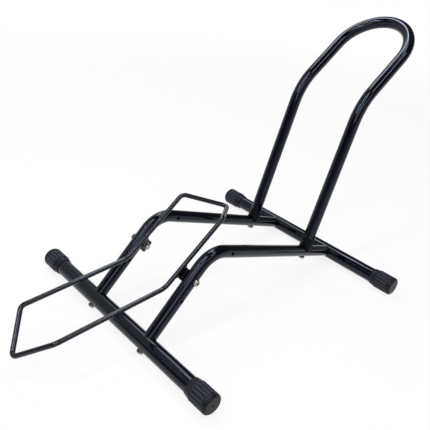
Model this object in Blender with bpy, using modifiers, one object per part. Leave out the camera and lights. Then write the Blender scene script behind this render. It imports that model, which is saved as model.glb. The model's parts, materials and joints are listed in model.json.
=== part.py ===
"""Floor bike stand: two crossbars, two bent rails, a leaning wheel hoop and a swinging wire cradle.

Metres, +Z up. The wheel rolls in along +Y, +X is the stand's right side, and the floor is Z = 0.
"""
import math

import bmesh
import bpy
from mathutils import Matrix, Vector

# Clearances between pieces
SEAT_GAP = 0.0003
BOLT_CLEARANCE = 0.0003
BORE_CLEARANCE = 0.0003

# Tubes and rod
TUBE_WALL = 0.0015
BAR_DIAMETER = 0.028
RAIL_DIAMETER = 0.022
HOOP_DIAMETER = 0.022
WIRE_DIAMETER = 0.008

# Crossbars on the floor and the rubber caps on their ends
BAR_SPACING = 0.4686
STAND_WIDTH = 0.4576
CAP_DIAMETER = 0.0352
CAP_LENGTH = 0.0464
CAP_END_WALL = 0.0040
CAP_LIP_DIAMETER = 0.0304
CAP_FLARE_LENGTH = 0.0111
CAP_FLARE_DIAMETER = 0.0338
CAP_STEP_LENGTH = 0.0010
CAP_EDGE_RADIUS = 0.0045
CAP_FLUTES = 18
CAP_FLUTE_DEPTH = 0.0009
CAP_FLUTE_RUN_OUT = 0.0014
CAP_FLUTE_END = 0.0375
CAP_DIMPLE_RADIUS = 0.0032
CAP_DIMPLE_DEPTH = 0.0006

# Bent rails
RAIL_SPACING = 0.1420
RAIL_FRONT_ANGLE = math.radians(45.3)
RAIL_REAR_ANGLE = math.radians(20.0)
RAIL_BEND_RADIUS = 0.050

# Pivot holes, along the front straight from the front bar and on the rear straight past the corner
LOW_HOLE_FROM_BAR = 0.0852
PIVOT_HOLE_FROM_BAR = 0.1220
REAR_HOLE_PAST_CORNER = 0.0429

# Wheel hoop
HOOP_FOOT_FROM_REAR_BAR = 0.0935
HOOP_LEG_LEAN = math.radians(17.8)
HOOP_TOP_LEAN = math.radians(54.4)
HOOP_LEG_LENGTH = 0.2970
HOOP_TOP_STRAIGHT = 0.1260
HOOP_CROWN_HEIGHT = 0.0820
HOOP_BEND_RADIUS = 0.108

# Saddle between each hoop leg and its rail
SADDLE_WALL = 0.0013
SADDLE_LENGTH = 0.0205
SADDLE_EAR_ANGLE = math.radians(13.0)
SADDLE_COLLAR_LENGTH = 0.0200
SADDLE_CONE_LENGTH = 0.0080
SADDLE_LIP_WALL = 0.0004

# Wire cradle: sides kinked in the middle, V-shaped ends
CRADLE_WIDTH = 0.1032
CRADLE_PITCH = math.radians(38.4)
CRADLE_UPPER_SIDE = 0.1453
CRADLE_LOWER_SIDE = 0.1906
CRADLE_SIDE_KINK = math.radians(34.6)
CRADLE_FRONT_REACH = 0.0572
CRADLE_REAR_REACH = 0.0644
CRADLE_FRONT_DROP = math.radians(39.4)
CRADLE_REAR_DROP = math.radians(54.8)
CRADLE_KINK_RADIUS = 0.030
CRADLE_CORNER_RADIUS = 0.0125
CRADLE_APEX_RADIUS = 0.008

# Pivot bracket under each side of the wire
BRACKET_RISE = 0.0129
BRACKET_FROM_KINK = 0.0371
BRACKET_LENGTH = 0.0220
BRACKET_DROP = 0.0080
BRACKET_THICKNESS = 0.0030
BRACKET_CORNER_RADIUS = 0.0030
WELD_LENGTH = 0.0060
WELD_RADIUS = 0.0021
WELD_FROM_PIVOT = 0.0068
WELD_OFF_PLATE = 0.0006
WELD_OVER_JOINT = 0.0010

# Spacer between the bracket and the round rail
SPACER_LENGTH = 0.0214
SPACER_HEIGHT = 0.0170
SPACER_BOSS_RADIUS = 0.0088
SPACER_BOSS_LENGTH = 0.0028
SPACER_EAR_DEPTH = 0.0025

# Bolts, nuts, washers and the threaded plugs in the tube ends
BOLT_DIAMETER = 0.0060
BOLT_HEAD_DIAMETER = 0.0120
BOLT_HEAD_HEIGHT = 0.0046
BOLT_HEAD_CROWN = 0.0016
BOLT_SOCKET_WIDTH = 0.0040
BOLT_SOCKET_DEPTH = 0.0020
BOLT_TIP_CHAMFER = 0.0006
NUT_WIDTH = 0.0100
NUT_HEIGHT = 0.0045
NUT_THREAD_SHOWN = 0.0010
WASHER_DIAMETER = 0.0118
WASHER_THICKNESS = 0.0012
PLUG_LENGTH = 0.0180
PLUG_THREAD_SHOWN = 0.0020

# Facets
BAR_SIDES = 28
RAIL_SIDES = 20
HOOP_SIDES = 18
WIRE_SIDES = 10
HOLE_SIDES = 12
BOLT_SIDES = 12
BEND_STEP = math.radians(13.0)
CROWN_STEPS = 14

# Worked out from the sizes above
BAR_RADIUS = BAR_DIAMETER / 2
RAIL_RADIUS = RAIL_DIAMETER / 2
HOOP_RADIUS = HOOP_DIAMETER / 2
WIRE_RADIUS = WIRE_DIAMETER / 2
HOLE_RADIUS = BOLT_DIAMETER / 2 + BOLT_CLEARANCE
RAIL_X = RAIL_SPACING / 2
CRADLE_X = CRADLE_WIDTH / 2
CAP_RADIUS = CAP_DIAMETER / 2
CAP_STEPS = 3 * CAP_FLUTES
BAR_AXIS_Z = CAP_RADIUS * math.cos(math.pi / CAP_STEPS)
BAR_END_X = STAND_WIDTH / 2 - CAP_END_WALL - SEAT_GAP
SADDLE_RADIUS = RAIL_RADIUS + SEAT_GAP + SADDLE_WALL

for leftover in list(bpy.data.objects):
    bpy.data.objects.remove(leftover, do_unlink=True)

parts = bpy.data.collections.new("bike_stand")
cutters = bpy.data.collections.new("cutters")
bpy.context.scene.collection.children.link(parts)
bpy.context.scene.collection.children.link(cutters)


def material(name, colour, roughness, metallic):
    surface = bpy.data.materials.new(name)
    surface.use_nodes = True
    surface.diffuse_color = (*colour, 1.0)
    shader = surface.node_tree.nodes["Principled BSDF"]
    shader.inputs["Base Color"].default_value = (*colour, 1.0)
    shader.inputs["Roughness"].default_value = roughness
    shader.inputs["Metallic"].default_value = metallic
    return surface


BLACK_PAINT = material("black_powder_coat", (0.016, 0.018, 0.026), 0.32, 0.0)
RUBBER = material("grey_rubber", (0.055, 0.057, 0.062), 0.75, 0.0)
BLACK_PLASTIC = material("black_plastic", (0.008, 0.008, 0.009), 0.45, 0.0)
ZINC = material("bright_zinc", (0.62, 0.63, 0.65), 0.28, 1.0)


def yz(y, z):
    return Vector((0.0, y, z))


def slope(angle):
    """A unit direction in the stand's side plane, rising rearwards at the angle."""
    return yz(math.cos(angle), math.sin(angle))


# Points and directions in the side plane, with the front bar's axis at Y = 0
FRONT_BAR = yz(0.0, BAR_AXIS_Z)
REAR_BAR = yz(BAR_SPACING, BAR_AXIS_Z)
RAIL_RISE = slope(RAIL_FRONT_ANGLE)
RAIL_FALL = slope(-RAIL_REAR_ANGLE)
RAIL_FRONT_LENGTH = BAR_SPACING * math.sin(RAIL_REAR_ANGLE) / math.sin(RAIL_FRONT_ANGLE + RAIL_REAR_ANGLE)
RAIL_CORNER = FRONT_BAR + RAIL_RISE * RAIL_FRONT_LENGTH
PIVOT = FRONT_BAR + RAIL_RISE * PIVOT_HOLE_FROM_BAR
HOOP_FOOT = REAR_BAR - RAIL_FALL * HOOP_FOOT_FROM_REAR_BAR
LEG_RISE = yz(math.sin(HOOP_LEG_LEAN), math.cos(HOOP_LEG_LEAN))
TOP_RISE = yz(math.sin(HOOP_TOP_LEAN), math.cos(HOOP_TOP_LEAN))


def rounded_path(corners, radii, closed=False):
    """Points along a bent centre line, with an arc of its radius at each corner."""
    points = []
    count = len(corners)
    for index, corner in enumerate(corners):
        radius = radii[index]
        if radius == 0.0:
            points.append(corner.copy())
            continue
        before = (corners[index - 1] - corner).normalized()
        after = (corners[(index + 1) % count] - corner).normalized()
        half_opening = before.angle(after) / 2
        turn = math.pi - 2 * half_opening
        centre = corner + (before + after).normalized() * (radius / math.sin(half_opening))
        start = corner + before * (radius / math.tan(half_opening))
        axis = (start - centre).cross(before).normalized()
        steps = max(2, math.ceil(turn / BEND_STEP))
        for step in range(steps + 1):
            swing = Matrix.Rotation(-turn * step / steps, 3, axis)
            points.append(centre + swing @ (start - centre))
    return points


def link(name, mesh, surface, parent=None):
    part = bpy.data.objects.new(name, mesh)
    parts.objects.link(part)
    if surface and not mesh.materials:
        mesh.materials.append(surface)
    part.parent = parent
    return part


def smooth(mesh, angle=math.radians(35.0)):
    mesh.shade_smooth()
    mesh.set_sharp_from_angle(angle=angle)


def curve_mesh(name, points, radius, sides, closed=False):
    """The skin of a round rod along the points, as a mesh that is open at its ends."""
    curve = bpy.data.curves.new(name + "_curve", "CURVE")
    curve.dimensions = "3D"
    curve.bevel_depth = radius
    curve.bevel_resolution = (sides - 4) // 2
    curve.use_fill_caps = False
    spline = curve.splines.new("POLY")
    spline.points.add(len(points) - 1)
    for target, point in zip(spline.points, points):
        target.co = (*point, 1.0)
    spline.use_cyclic_u = closed
    guide = bpy.data.objects.new(name + "_curve", curve)
    parts.objects.link(guide)
    graph = bpy.context.evaluated_depsgraph_get()
    mesh = bpy.data.meshes.new_from_object(guide.evaluated_get(graph))
    mesh.name = name
    bpy.data.objects.remove(guide, do_unlink=True)
    body = bmesh.new()
    body.from_mesh(mesh)
    bmesh.ops.remove_doubles(body, verts=body.verts, dist=0.00001)
    bmesh.ops.recalc_face_normals(body, faces=body.faces)
    body.to_mesh(mesh)
    body.free()
    smooth(mesh)
    return mesh


def tube(name, points, radius, sides, parent):
    """A round tube: the rod's skin, with its wall added inwards."""
    part = link(name, curve_mesh(name, points, radius, sides), BLACK_PAINT, parent)
    wall = part.modifiers.new("wall", "SOLIDIFY")
    wall.thickness = TUBE_WALL
    wall.offset = -1.0
    wall.use_even_offset = True
    return part


def turned_mesh(name, profile, steps, surface):
    """A profile of (radius, height) points turned once about Z, as a finished mesh."""
    outline = bmesh.new()
    corners = [outline.verts.new((radius, 0.0, height)) for radius, height in profile]
    edges = [outline.edges.new(pair) for pair in zip(corners, corners[1:])]
    if profile[0][0] > 0.0:
        edges.append(outline.edges.new((corners[-1], corners[0])))
    bmesh.ops.spin(
        outline, geom=corners + edges, axis=(0.0, 0.0, 1.0), cent=(0.0, 0.0, 0.0),
        angle=2 * math.pi, steps=steps, use_merge=True)
    bmesh.ops.remove_doubles(outline, verts=outline.verts, dist=0.00001)
    bmesh.ops.recalc_face_normals(outline, faces=outline.faces)
    mesh = bpy.data.meshes.new(name)
    outline.to_mesh(mesh)
    outline.free()
    mesh.materials.append(surface)
    smooth(mesh)
    return mesh


def along(direction, roll=0.0):
    """The rotation that turns local Z to the direction, and local X to the side plane's normal or up."""
    axis_z = direction.normalized()
    helper = Vector((1.0, 0.0, 0.0)) if abs(axis_z.x) < 0.9 else Vector((0.0, 0.0, 1.0))
    axis_y = axis_z.cross(helper).normalized()
    axis_x = axis_y.cross(axis_z)
    frame = Matrix((axis_x, axis_y, axis_z)).transposed()
    return frame @ Matrix.Rotation(roll, 3, "Z")


def place(part, location, direction, roll=0.0):
    part.location = location
    part.rotation_euler = along(direction, roll).to_euler()


def rods_cutter(name, rods, parent):
    """One cutter made of closed round rods, each given by its ends, radius and sides."""
    body = bmesh.new()
    for start, end, radius, sides in rods:
        run = end - start
        where = Matrix.Translation((start + end) / 2) @ along(run).to_4x4()
        bmesh.ops.create_cone(
            body, cap_ends=True, cap_tris=False, segments=sides, radius1=radius, radius2=radius,
            depth=run.length, matrix=where)
    mesh = bpy.data.meshes.new(name)
    body.to_mesh(mesh)
    body.free()
    return cutter_object(name, mesh, parent)


def cutter_object(name, mesh, parent):
    cutter = bpy.data.objects.new(name, mesh)
    cutters.objects.link(cutter)
    cutter.parent = parent
    cutter.hide_render = True
    cutter.display_type = "WIRE"
    return cutter


def combine(part, other, operation):
    boolean = part.modifiers.new(operation.lower(), "BOOLEAN")
    boolean.operation = operation
    boolean.solver = "EXACT"
    boolean.object = other


def across(centre, reach):
    """The two ends of a rod along X through a point of the side plane."""
    return centre - Vector((reach, 0.0, 0.0)), centre + Vector((reach, 0.0, 0.0))


def side_x(side, x):
    return Vector((side * x, 0.0, 0.0))


def empty(name, parent, location):
    holder = bpy.data.objects.new(name, None)
    holder.empty_display_size = 0.03
    parts.objects.link(holder)
    holder.parent = parent
    holder.location = location
    return holder


# Wire cradle path, in the cradle's own frame: pivot at the origin, upper sides along +Y
def cradle_path():
    kink = yz(-BRACKET_FROM_KINK, BRACKET_RISE)
    rear = kink + slope(0.0) * CRADLE_UPPER_SIDE
    front = kink - slope(-CRADLE_SIDE_KINK) * CRADLE_LOWER_SIDE
    front_apex = front - slope(CRADLE_FRONT_DROP - CRADLE_SIDE_KINK) * CRADLE_FRONT_REACH
    rear_apex = rear + slope(-CRADLE_REAR_DROP) * CRADLE_REAR_REACH
    right = side_x(1, CRADLE_X)
    left = side_x(-1, CRADLE_X)
    corners = [
        front_apex, front + right, kink + right, rear + right,
        rear_apex, rear + left, kink + left, front + left]
    radii = [CRADLE_APEX_RADIUS, CRADLE_CORNER_RADIUS, CRADLE_KINK_RADIUS, CRADLE_CORNER_RADIUS]
    return rounded_path(corners, radii + radii, closed=True)


# Hoop path, with the front bar's axis at Y = 0
def hoop_path():
    kink = HOOP_FOOT + LEG_RISE * HOOP_LEG_LENGTH
    shoulder = kink + TOP_RISE * HOOP_TOP_STRAIGHT
    leg = rounded_path([HOOP_FOOT, kink, shoulder], [0.0, HOOP_BEND_RADIUS, 0.0])
    right = [point + side_x(1, RAIL_X) for point in leg]
    left = [point + side_x(-1, RAIL_X) for point in reversed(leg)]
    crown = []
    for step in range(1, CROWN_STEPS):
        turn = math.pi * step / CROWN_STEPS
        rise = TOP_RISE * (HOOP_CROWN_HEIGHT * math.sin(turn))
        crown.append(shoulder + side_x(math.cos(turn), RAIL_X) + rise)
    return right + crown + left


# The stand's origin is on the floor under the middle of its length
CRADLE_POINTS = cradle_path()
HOOP_POINTS = hoop_path()
CRADLE_TURN = Matrix.Rotation(CRADLE_PITCH, 3, "X")
FRONT_REACH = min((PIVOT + CRADLE_TURN @ point).y for point in CRADLE_POINTS) - WIRE_RADIUS
REAR_REACH = max(point.y for point in HOOP_POINTS) + HOOP_RADIUS
STAND = empty("stand_frame", None, yz(-(FRONT_REACH + REAR_REACH) / 2, 0.0))
CRADLE = empty("cradle_pivot", STAND, PIVOT)
CRADLE.rotation_euler = (CRADLE_PITCH, 0.0, 0.0)


def crossbar(name, axis_point, bolt_direction):
    """A straight tube on the floor, drilled right through under each rail."""
    path = [point.copy() for point in across(yz(0.0, 0.0), BAR_END_X)]
    bar = tube(name, path, BAR_RADIUS, BAR_SIDES, STAND)
    bar.location = axis_point
    rods = []
    for side in (-1, 1):
        middle = axis_point + side_x(side, RAIL_X)
        reach = bolt_direction * BAR_DIAMETER
        rods.append((middle - reach, middle + reach, HOLE_RADIUS, HOLE_SIDES))
    combine(bar, rods_cutter(name + "_bolt_holes", rods, STAND), "DIFFERENCE")


def cap_mesh():
    """A rubber cup: flared lip, step, fluted body, rounded end with a dimple, and the bar's bore.

    Every third line of the body is pressed in as a flute, and a land between flutes faces local +X.
    """
    bore = BAR_RADIUS + BORE_CLEARANCE
    flute_start = CAP_FLARE_LENGTH + CAP_STEP_LENGTH
    slant = CAP_EDGE_RADIUS * (1 - math.sqrt(0.5))
    profile = [
        (0.0, CAP_LENGTH - CAP_DIMPLE_DEPTH),
        (CAP_DIMPLE_RADIUS, CAP_LENGTH),
        (CAP_RADIUS - CAP_EDGE_RADIUS, CAP_LENGTH),
        (CAP_RADIUS - slant, CAP_LENGTH - slant),
        (CAP_RADIUS, CAP_LENGTH - CAP_EDGE_RADIUS),
        (CAP_RADIUS, CAP_FLUTE_END - CAP_FLUTE_RUN_OUT),
        (CAP_RADIUS, flute_start + CAP_FLUTE_RUN_OUT),
        (CAP_RADIUS, flute_start),
        (CAP_FLARE_DIAMETER / 2, CAP_FLARE_LENGTH),
        (CAP_LIP_DIAMETER / 2, 0.0),
        (bore, 0.0),
        (bore, CAP_LENGTH - CAP_END_WALL),
        (0.0, CAP_LENGTH - CAP_END_WALL)]
    mesh = turned_mesh("end_cap", profile, CAP_STEPS, RUBBER)
    spacing = 2 * math.pi / CAP_STEPS
    fluted_heights = (CAP_FLUTE_END - CAP_FLUTE_RUN_OUT, flute_start + CAP_FLUTE_RUN_OUT)
    for vertex in mesh.vertices:
        place_in_ring = round(math.atan2(vertex.co.y, vertex.co.x) / spacing)
        fluted = any(abs(vertex.co.z - height) < 0.00001 for height in fluted_heights)
        if fluted and vertex.co.xy.length > bore + CAP_FLUTE_DEPTH and place_in_ring % 3 == 0:
            vertex.co.xy *= (CAP_RADIUS - CAP_FLUTE_DEPTH) / CAP_RADIUS
    mesh.transform(Matrix.Rotation(-1.5 * spacing, 4, "Z"))
    smooth(mesh, math.radians(20.0))
    return mesh


def end_caps():
    """Four caps, each with a flat land between two flutes facing straight down."""
    mesh = cap_mesh()
    for row, axis_point in (("front", FRONT_BAR), ("rear", REAR_BAR)):
        for side, word in ((-1, "left"), (1, "right")):
            cap = link(f"end_cap_{row}_{word}", mesh, RUBBER, STAND)
            mouth = axis_point + side_x(side, STAND_WIDTH / 2 - CAP_LENGTH)
            place(cap, mouth, side_x(side, 1.0), roll=math.pi)


def rail(name, side):
    """A bent tube, coped on both crossbars, with its pivot holes and its hoop bolt hole."""
    path = rounded_path([FRONT_BAR, RAIL_CORNER, REAR_BAR], [0.0, RAIL_BEND_RADIUS, 0.0])
    part = tube(name, path, RAIL_RADIUS, RAIL_SIDES, STAND)
    part.location = side_x(side, RAIL_X)
    shift = side_x(side, RAIL_X)
    cope = BAR_RADIUS + SEAT_GAP
    low_hole = FRONT_BAR + RAIL_RISE * LOW_HOLE_FROM_BAR
    rear_hole = RAIL_CORNER + RAIL_FALL * REAR_HOLE_PAST_CORNER
    rods = [(*across(bar + shift, RAIL_DIAMETER), cope, BAR_SIDES) for bar in (FRONT_BAR, REAR_BAR)]
    for hole in (low_hole, PIVOT, rear_hole):
        rods.append((*across(hole + shift, RAIL_DIAMETER), HOLE_RADIUS, HOLE_SIDES))
    foot = HOOP_FOOT + shift
    rods.append((foot - LEG_RISE * RAIL_DIAMETER, foot + LEG_RISE * RAIL_DIAMETER, HOLE_RADIUS, HOLE_SIDES))
    combine(part, rods_cutter(name + "_cuts", rods, STAND), "DIFFERENCE")


def hoop():
    """One bent tube whose two legs are coped over the saddles on the rails."""
    part = tube("wheel_hoop", HOOP_POINTS, HOOP_RADIUS, HOOP_SIDES, STAND)
    cope = SADDLE_RADIUS + SEAT_GAP
    rods = []
    for side in (-1, 1):
        foot = HOOP_FOOT + side_x(side, RAIL_X)
        rods.append((foot - RAIL_FALL * HOOP_DIAMETER, foot + RAIL_FALL * HOOP_DIAMETER, cope, BAR_SIDES))
    combine(part, rods_cutter("hoop_foot_copes", rods, STAND), "DIFFERENCE")


def saddle(name, side):
    """A half shell on the rail with a collar round the hoop's leg, its top edge coned to the leg."""
    foot = HOOP_FOOT + side_x(side, RAIL_X)
    ear_height = SADDLE_RADIUS * math.sin(SADDLE_EAR_ANGLE)
    collar_bore = HOOP_RADIUS + SEAT_GAP
    collar_radius = collar_bore + SADDLE_WALL
    profile = [
        (collar_bore + SADDLE_LIP_WALL, SADDLE_COLLAR_LENGTH + SADDLE_CONE_LENGTH),
        (collar_radius, SADDLE_COLLAR_LENGTH),
        (collar_radius, ear_height),
        (collar_bore, ear_height),
        (collar_bore, SADDLE_COLLAR_LENGTH + SADDLE_CONE_LENGTH)]
    part = link(name, turned_mesh(name, profile, RAIL_SIDES, BLACK_PLASTIC), BLACK_PLASTIC, STAND)
    place(part, foot, LEG_RISE)
    half_run = RAIL_FALL * (SADDLE_LENGTH / 2)
    rods = [(foot - half_run, foot + half_run, SADDLE_RADIUS, RAIL_SIDES)]
    shell = rods_cutter(name + "_shell", rods, STAND)
    below = block_cutter(
        name + "_ears", (SADDLE_RADIUS * 3, SADDLE_LENGTH * 2, SADDLE_RADIUS * 2),
        foot, -RAIL_REAR_ANGLE, (0.0, 0.0, ear_height - SADDLE_RADIUS))
    combine(shell, below, "DIFFERENCE")
    combine(part, shell, "UNION")
    reach = RAIL_FALL * (SADDLE_LENGTH + SADDLE_RADIUS)
    rods = [(foot - reach, foot + reach, RAIL_RADIUS + SEAT_GAP, RAIL_SIDES)]
    combine(part, rods_cutter(name + "_rail_cup", rods, STAND), "DIFFERENCE")
    rods = [(foot, foot + LEG_RISE * SADDLE_RADIUS * 1.5, HOLE_RADIUS, HOLE_SIDES)]
    combine(part, rods_cutter(name + "_bolt_hole", rods, STAND), "DIFFERENCE")


def block_mesh(name, size):
    body = bmesh.new()
    bmesh.ops.create_cube(body, size=1.0, matrix=Matrix.Diagonal((*size, 1.0)))
    mesh = bpy.data.meshes.new(name)
    body.to_mesh(mesh)
    body.free()
    return mesh


def block_cutter(name, size, origin, pitch, offset):
    """A block in a frame pitched about X at the origin, moved by an offset in that frame."""
    cutter = cutter_object(name, block_mesh(name, size), STAND)
    turn = Matrix.Rotation(pitch, 3, "X")
    cutter.location = origin + turn @ Vector(offset)
    cutter.rotation_euler = (pitch, 0.0, 0.0)
    return cutter


def cradle_wire():
    """One closed loop of round rod."""
    mesh = curve_mesh("cradle_wire", CRADLE_POINTS, WIRE_RADIUS, WIRE_SIDES, closed=True)
    link("cradle_wire", mesh, BLACK_PAINT, CRADLE)


def bracket_mesh():
    """The bracket's plate: a flat outline with round lower corners and the bolt hole, extruded."""
    half = BRACKET_LENGTH / 2
    radius = BRACKET_CORNER_RADIUS
    outline = rounded_path(
        [Vector((-half, -BRACKET_DROP, 0.0)), Vector((half, -BRACKET_DROP, 0.0)),
         Vector((half, BRACKET_RISE, 0.0)), Vector((-half, BRACKET_RISE, 0.0))],
        [radius, radius, 0.0, 0.0], closed=True)
    ring = []
    for step in range(HOLE_SIDES):
        turn = 2 * math.pi * step / HOLE_SIDES
        ring.append(Vector((math.cos(turn), math.sin(turn), 0.0)) * HOLE_RADIUS)
    curve = bpy.data.curves.new("bracket_outline", "CURVE")
    curve.dimensions = "2D"
    curve.fill_mode = "BOTH"
    curve.extrude = BRACKET_THICKNESS / 2
    for points in (outline, ring):
        spline = curve.splines.new("POLY")
        spline.points.add(len(points) - 1)
        for target, point in zip(spline.points, points):
            target.co = (*point, 1.0)
        spline.use_cyclic_u = True
    guide = bpy.data.objects.new("bracket_outline", curve)
    parts.objects.link(guide)
    graph = bpy.context.evaluated_depsgraph_get()
    mesh = bpy.data.meshes.new_from_object(guide.evaluated_get(graph))
    bpy.data.objects.remove(guide, do_unlink=True)
    body = bmesh.new()
    body.from_mesh(mesh)
    bmesh.ops.remove_doubles(body, verts=body.verts, dist=0.00001)
    upright = Matrix(((0.0, 0.0, 1.0), (1.0, 0.0, 0.0), (0.0, 1.0, 0.0)))
    bmesh.ops.transform(body, matrix=upright.to_4x4(), verts=body.verts)
    bmesh.ops.recalc_face_normals(body, faces=body.faces)
    body.to_mesh(mesh)
    body.free()
    return mesh


def bracket(name, side):
    """A steel plate welded under the wire with a bead at each end, on both of its faces."""
    part = link(name, bracket_mesh(), BLACK_PAINT, CRADLE)
    part.location = side_x(side, CRADLE_X)
    beads = bmesh.new()
    bead_x = BRACKET_THICKNESS / 2 + WELD_OFF_PLATE
    bead_y = WELD_FROM_PIVOT + WELD_LENGTH / 2
    bead_z = BRACKET_RISE - WIRE_RADIUS + WELD_OVER_JOINT
    for face in (-1, 1):
        for end in (-1, 1):
            middle = Vector((face * bead_x, end * bead_y, bead_z))
            shape = Matrix.Diagonal((WELD_RADIUS, WELD_LENGTH / 2, WELD_RADIUS, 1.0))
            bmesh.ops.create_uvsphere(
                beads, u_segments=8, v_segments=4, radius=1.0, matrix=Matrix.Translation(middle) @ shape)
    mesh = bpy.data.meshes.new(name + "_beads")
    beads.to_mesh(mesh)
    beads.free()
    bead_object = cutter_object(name + "_beads", mesh, CRADLE)
    bead_object.location = side_x(side, CRADLE_X)
    combine(part, bead_object, "UNION")
    wire_axis = yz(0.0, BRACKET_RISE) + side_x(side, CRADLE_X)
    reach = slope(0.0) * BRACKET_LENGTH
    rods = [(wire_axis - reach, wire_axis + reach, WIRE_RADIUS + SEAT_GAP, RAIL_SIDES)]
    combine(part, rods_cutter(name + "_wire_seat", rods, CRADLE), "DIFFERENCE")


def spacer(name, side):
    """A block cupped on the round rail, with a round boss that the bracket turns against."""
    boss_face = CRADLE_X + BRACKET_THICKNESS / 2 + SEAT_GAP
    block_start = boss_face + SPACER_BOSS_LENGTH
    block_end = RAIL_X - RAIL_RADIUS + SPACER_EAR_DEPTH
    width = block_end - block_start
    part = link(name, block_mesh(name, (width, SPACER_LENGTH, SPACER_HEIGHT)), BLACK_PLASTIC, STAND)
    part.location = PIVOT + side_x(side, block_start + width / 2)
    part.rotation_euler = (RAIL_FRONT_ANGLE, 0.0, 0.0)
    boss_rod = (
        PIVOT + side_x(side, boss_face), PIVOT + side_x(side, block_start + width / 2),
        SPACER_BOSS_RADIUS, RAIL_SIDES)
    combine(part, rods_cutter(name + "_boss", [boss_rod], STAND), "UNION")
    rail_axis = PIVOT + side_x(side, RAIL_X)
    reach = RAIL_RISE * SPACER_LENGTH
    cup = (rail_axis - reach, rail_axis + reach, RAIL_RADIUS + SEAT_GAP, RAIL_SIDES)
    combine(part, rods_cutter(name + "_rail_cup", [cup], STAND), "DIFFERENCE")
    hole = (*across(PIVOT + side_x(side, block_start), RAIL_RADIUS), HOLE_RADIUS, HOLE_SIDES)
    combine(part, rods_cutter(name + "_bolt_hole", [hole], STAND), "DIFFERENCE")


def bolt_mesh(name, length):
    """A pan-head bolt with a hexagon socket; its head's underside is at Z = 0 and its shank runs to -Z."""
    shank = BOLT_DIAMETER / 2
    head = BOLT_HEAD_DIAMETER / 2
    profile = [
        (0.0, BOLT_HEAD_HEIGHT),
        (head - BOLT_HEAD_CROWN, BOLT_HEAD_HEIGHT),
        (head, BOLT_HEAD_HEIGHT - BOLT_HEAD_CROWN),
        (head, 0.0),
        (shank, 0.0),
        (shank, BOLT_TIP_CHAMFER - length),
        (shank - BOLT_TIP_CHAMFER, -length),
        (0.0, -length)]
    blank = link(name, turned_mesh(name + "_blank", profile, BOLT_SIDES, ZINC), ZINC)
    socket = bmesh.new()
    bmesh.ops.create_cone(
        socket, cap_ends=True, segments=6, radius1=BOLT_SOCKET_WIDTH / math.sqrt(3),
        radius2=BOLT_SOCKET_WIDTH / math.sqrt(3), depth=2 * BOLT_SOCKET_DEPTH,
        matrix=Matrix.Translation((0.0, 0.0, BOLT_HEAD_HEIGHT)))
    socket_mesh = bpy.data.meshes.new(name + "_socket")
    socket.to_mesh(socket_mesh)
    socket.free()
    cutter = cutter_object(name + "_socket", socket_mesh, None)
    combine(blank, cutter, "DIFFERENCE")
    graph = bpy.context.evaluated_depsgraph_get()
    mesh = bpy.data.meshes.new_from_object(blank.evaluated_get(graph))
    mesh.name = name
    bpy.data.objects.remove(blank, do_unlink=True)
    bpy.data.objects.remove(cutter, do_unlink=True)
    smooth(mesh)
    return mesh


def plug_mesh(wall_radius):
    """A threaded plug that fills a tube's end."""
    outer = wall_radius - TUBE_WALL - 2 * SEAT_GAP
    profile = [
        (outer, PLUG_LENGTH), (outer, 0.0), (HOLE_RADIUS, 0.0), (HOLE_RADIUS, PLUG_LENGTH)]
    return turned_mesh("tube_plug", profile, HOLE_SIDES, ZINC)


def bar_bolts(row, axis_point, direction):
    """Bolts through a crossbar into the threaded plugs of both rails."""
    head_seat = BAR_RADIUS + SEAT_GAP
    plug_seat = BAR_RADIUS + 2 * SEAT_GAP
    length = head_seat + plug_seat + PLUG_LENGTH + PLUG_THREAD_SHOWN
    bolts = bolt_mesh(f"{row}_bar_bolt", length)
    plugs = plug_mesh(RAIL_RADIUS)
    for side, word in ((-1, "left"), (1, "right")):
        middle = axis_point + side_x(side, RAIL_X)
        bolt = link(f"{row}_bar_bolt_{word}", bolts, ZINC, STAND)
        place(bolt, middle - direction * head_seat, -direction)
        plug = link(f"rail_{row}_plug_{word}", plugs, ZINC, STAND)
        place(plug, middle + direction * plug_seat, direction)


def hoop_bolts():
    """Bolts up through the rails and saddles into the threaded plugs of the hoop's legs."""
    head_seat = RAIL_RADIUS + SEAT_GAP
    plug_seat = SADDLE_RADIUS + 2 * SEAT_GAP
    length = head_seat + plug_seat + PLUG_LENGTH + PLUG_THREAD_SHOWN
    bolts = bolt_mesh("hoop_bolt", length)
    plugs = plug_mesh(HOOP_RADIUS)
    for side, word in ((-1, "left"), (1, "right")):
        middle = HOOP_FOOT + side_x(side, RAIL_X)
        bolt = link(f"hoop_bolt_{word}", bolts, ZINC, STAND)
        place(bolt, middle - LEG_RISE * head_seat, -LEG_RISE)
        plug = link(f"hoop_leg_plug_{word}", plugs, ZINC, STAND)
        place(plug, middle + LEG_RISE * plug_seat, LEG_RISE)


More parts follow.
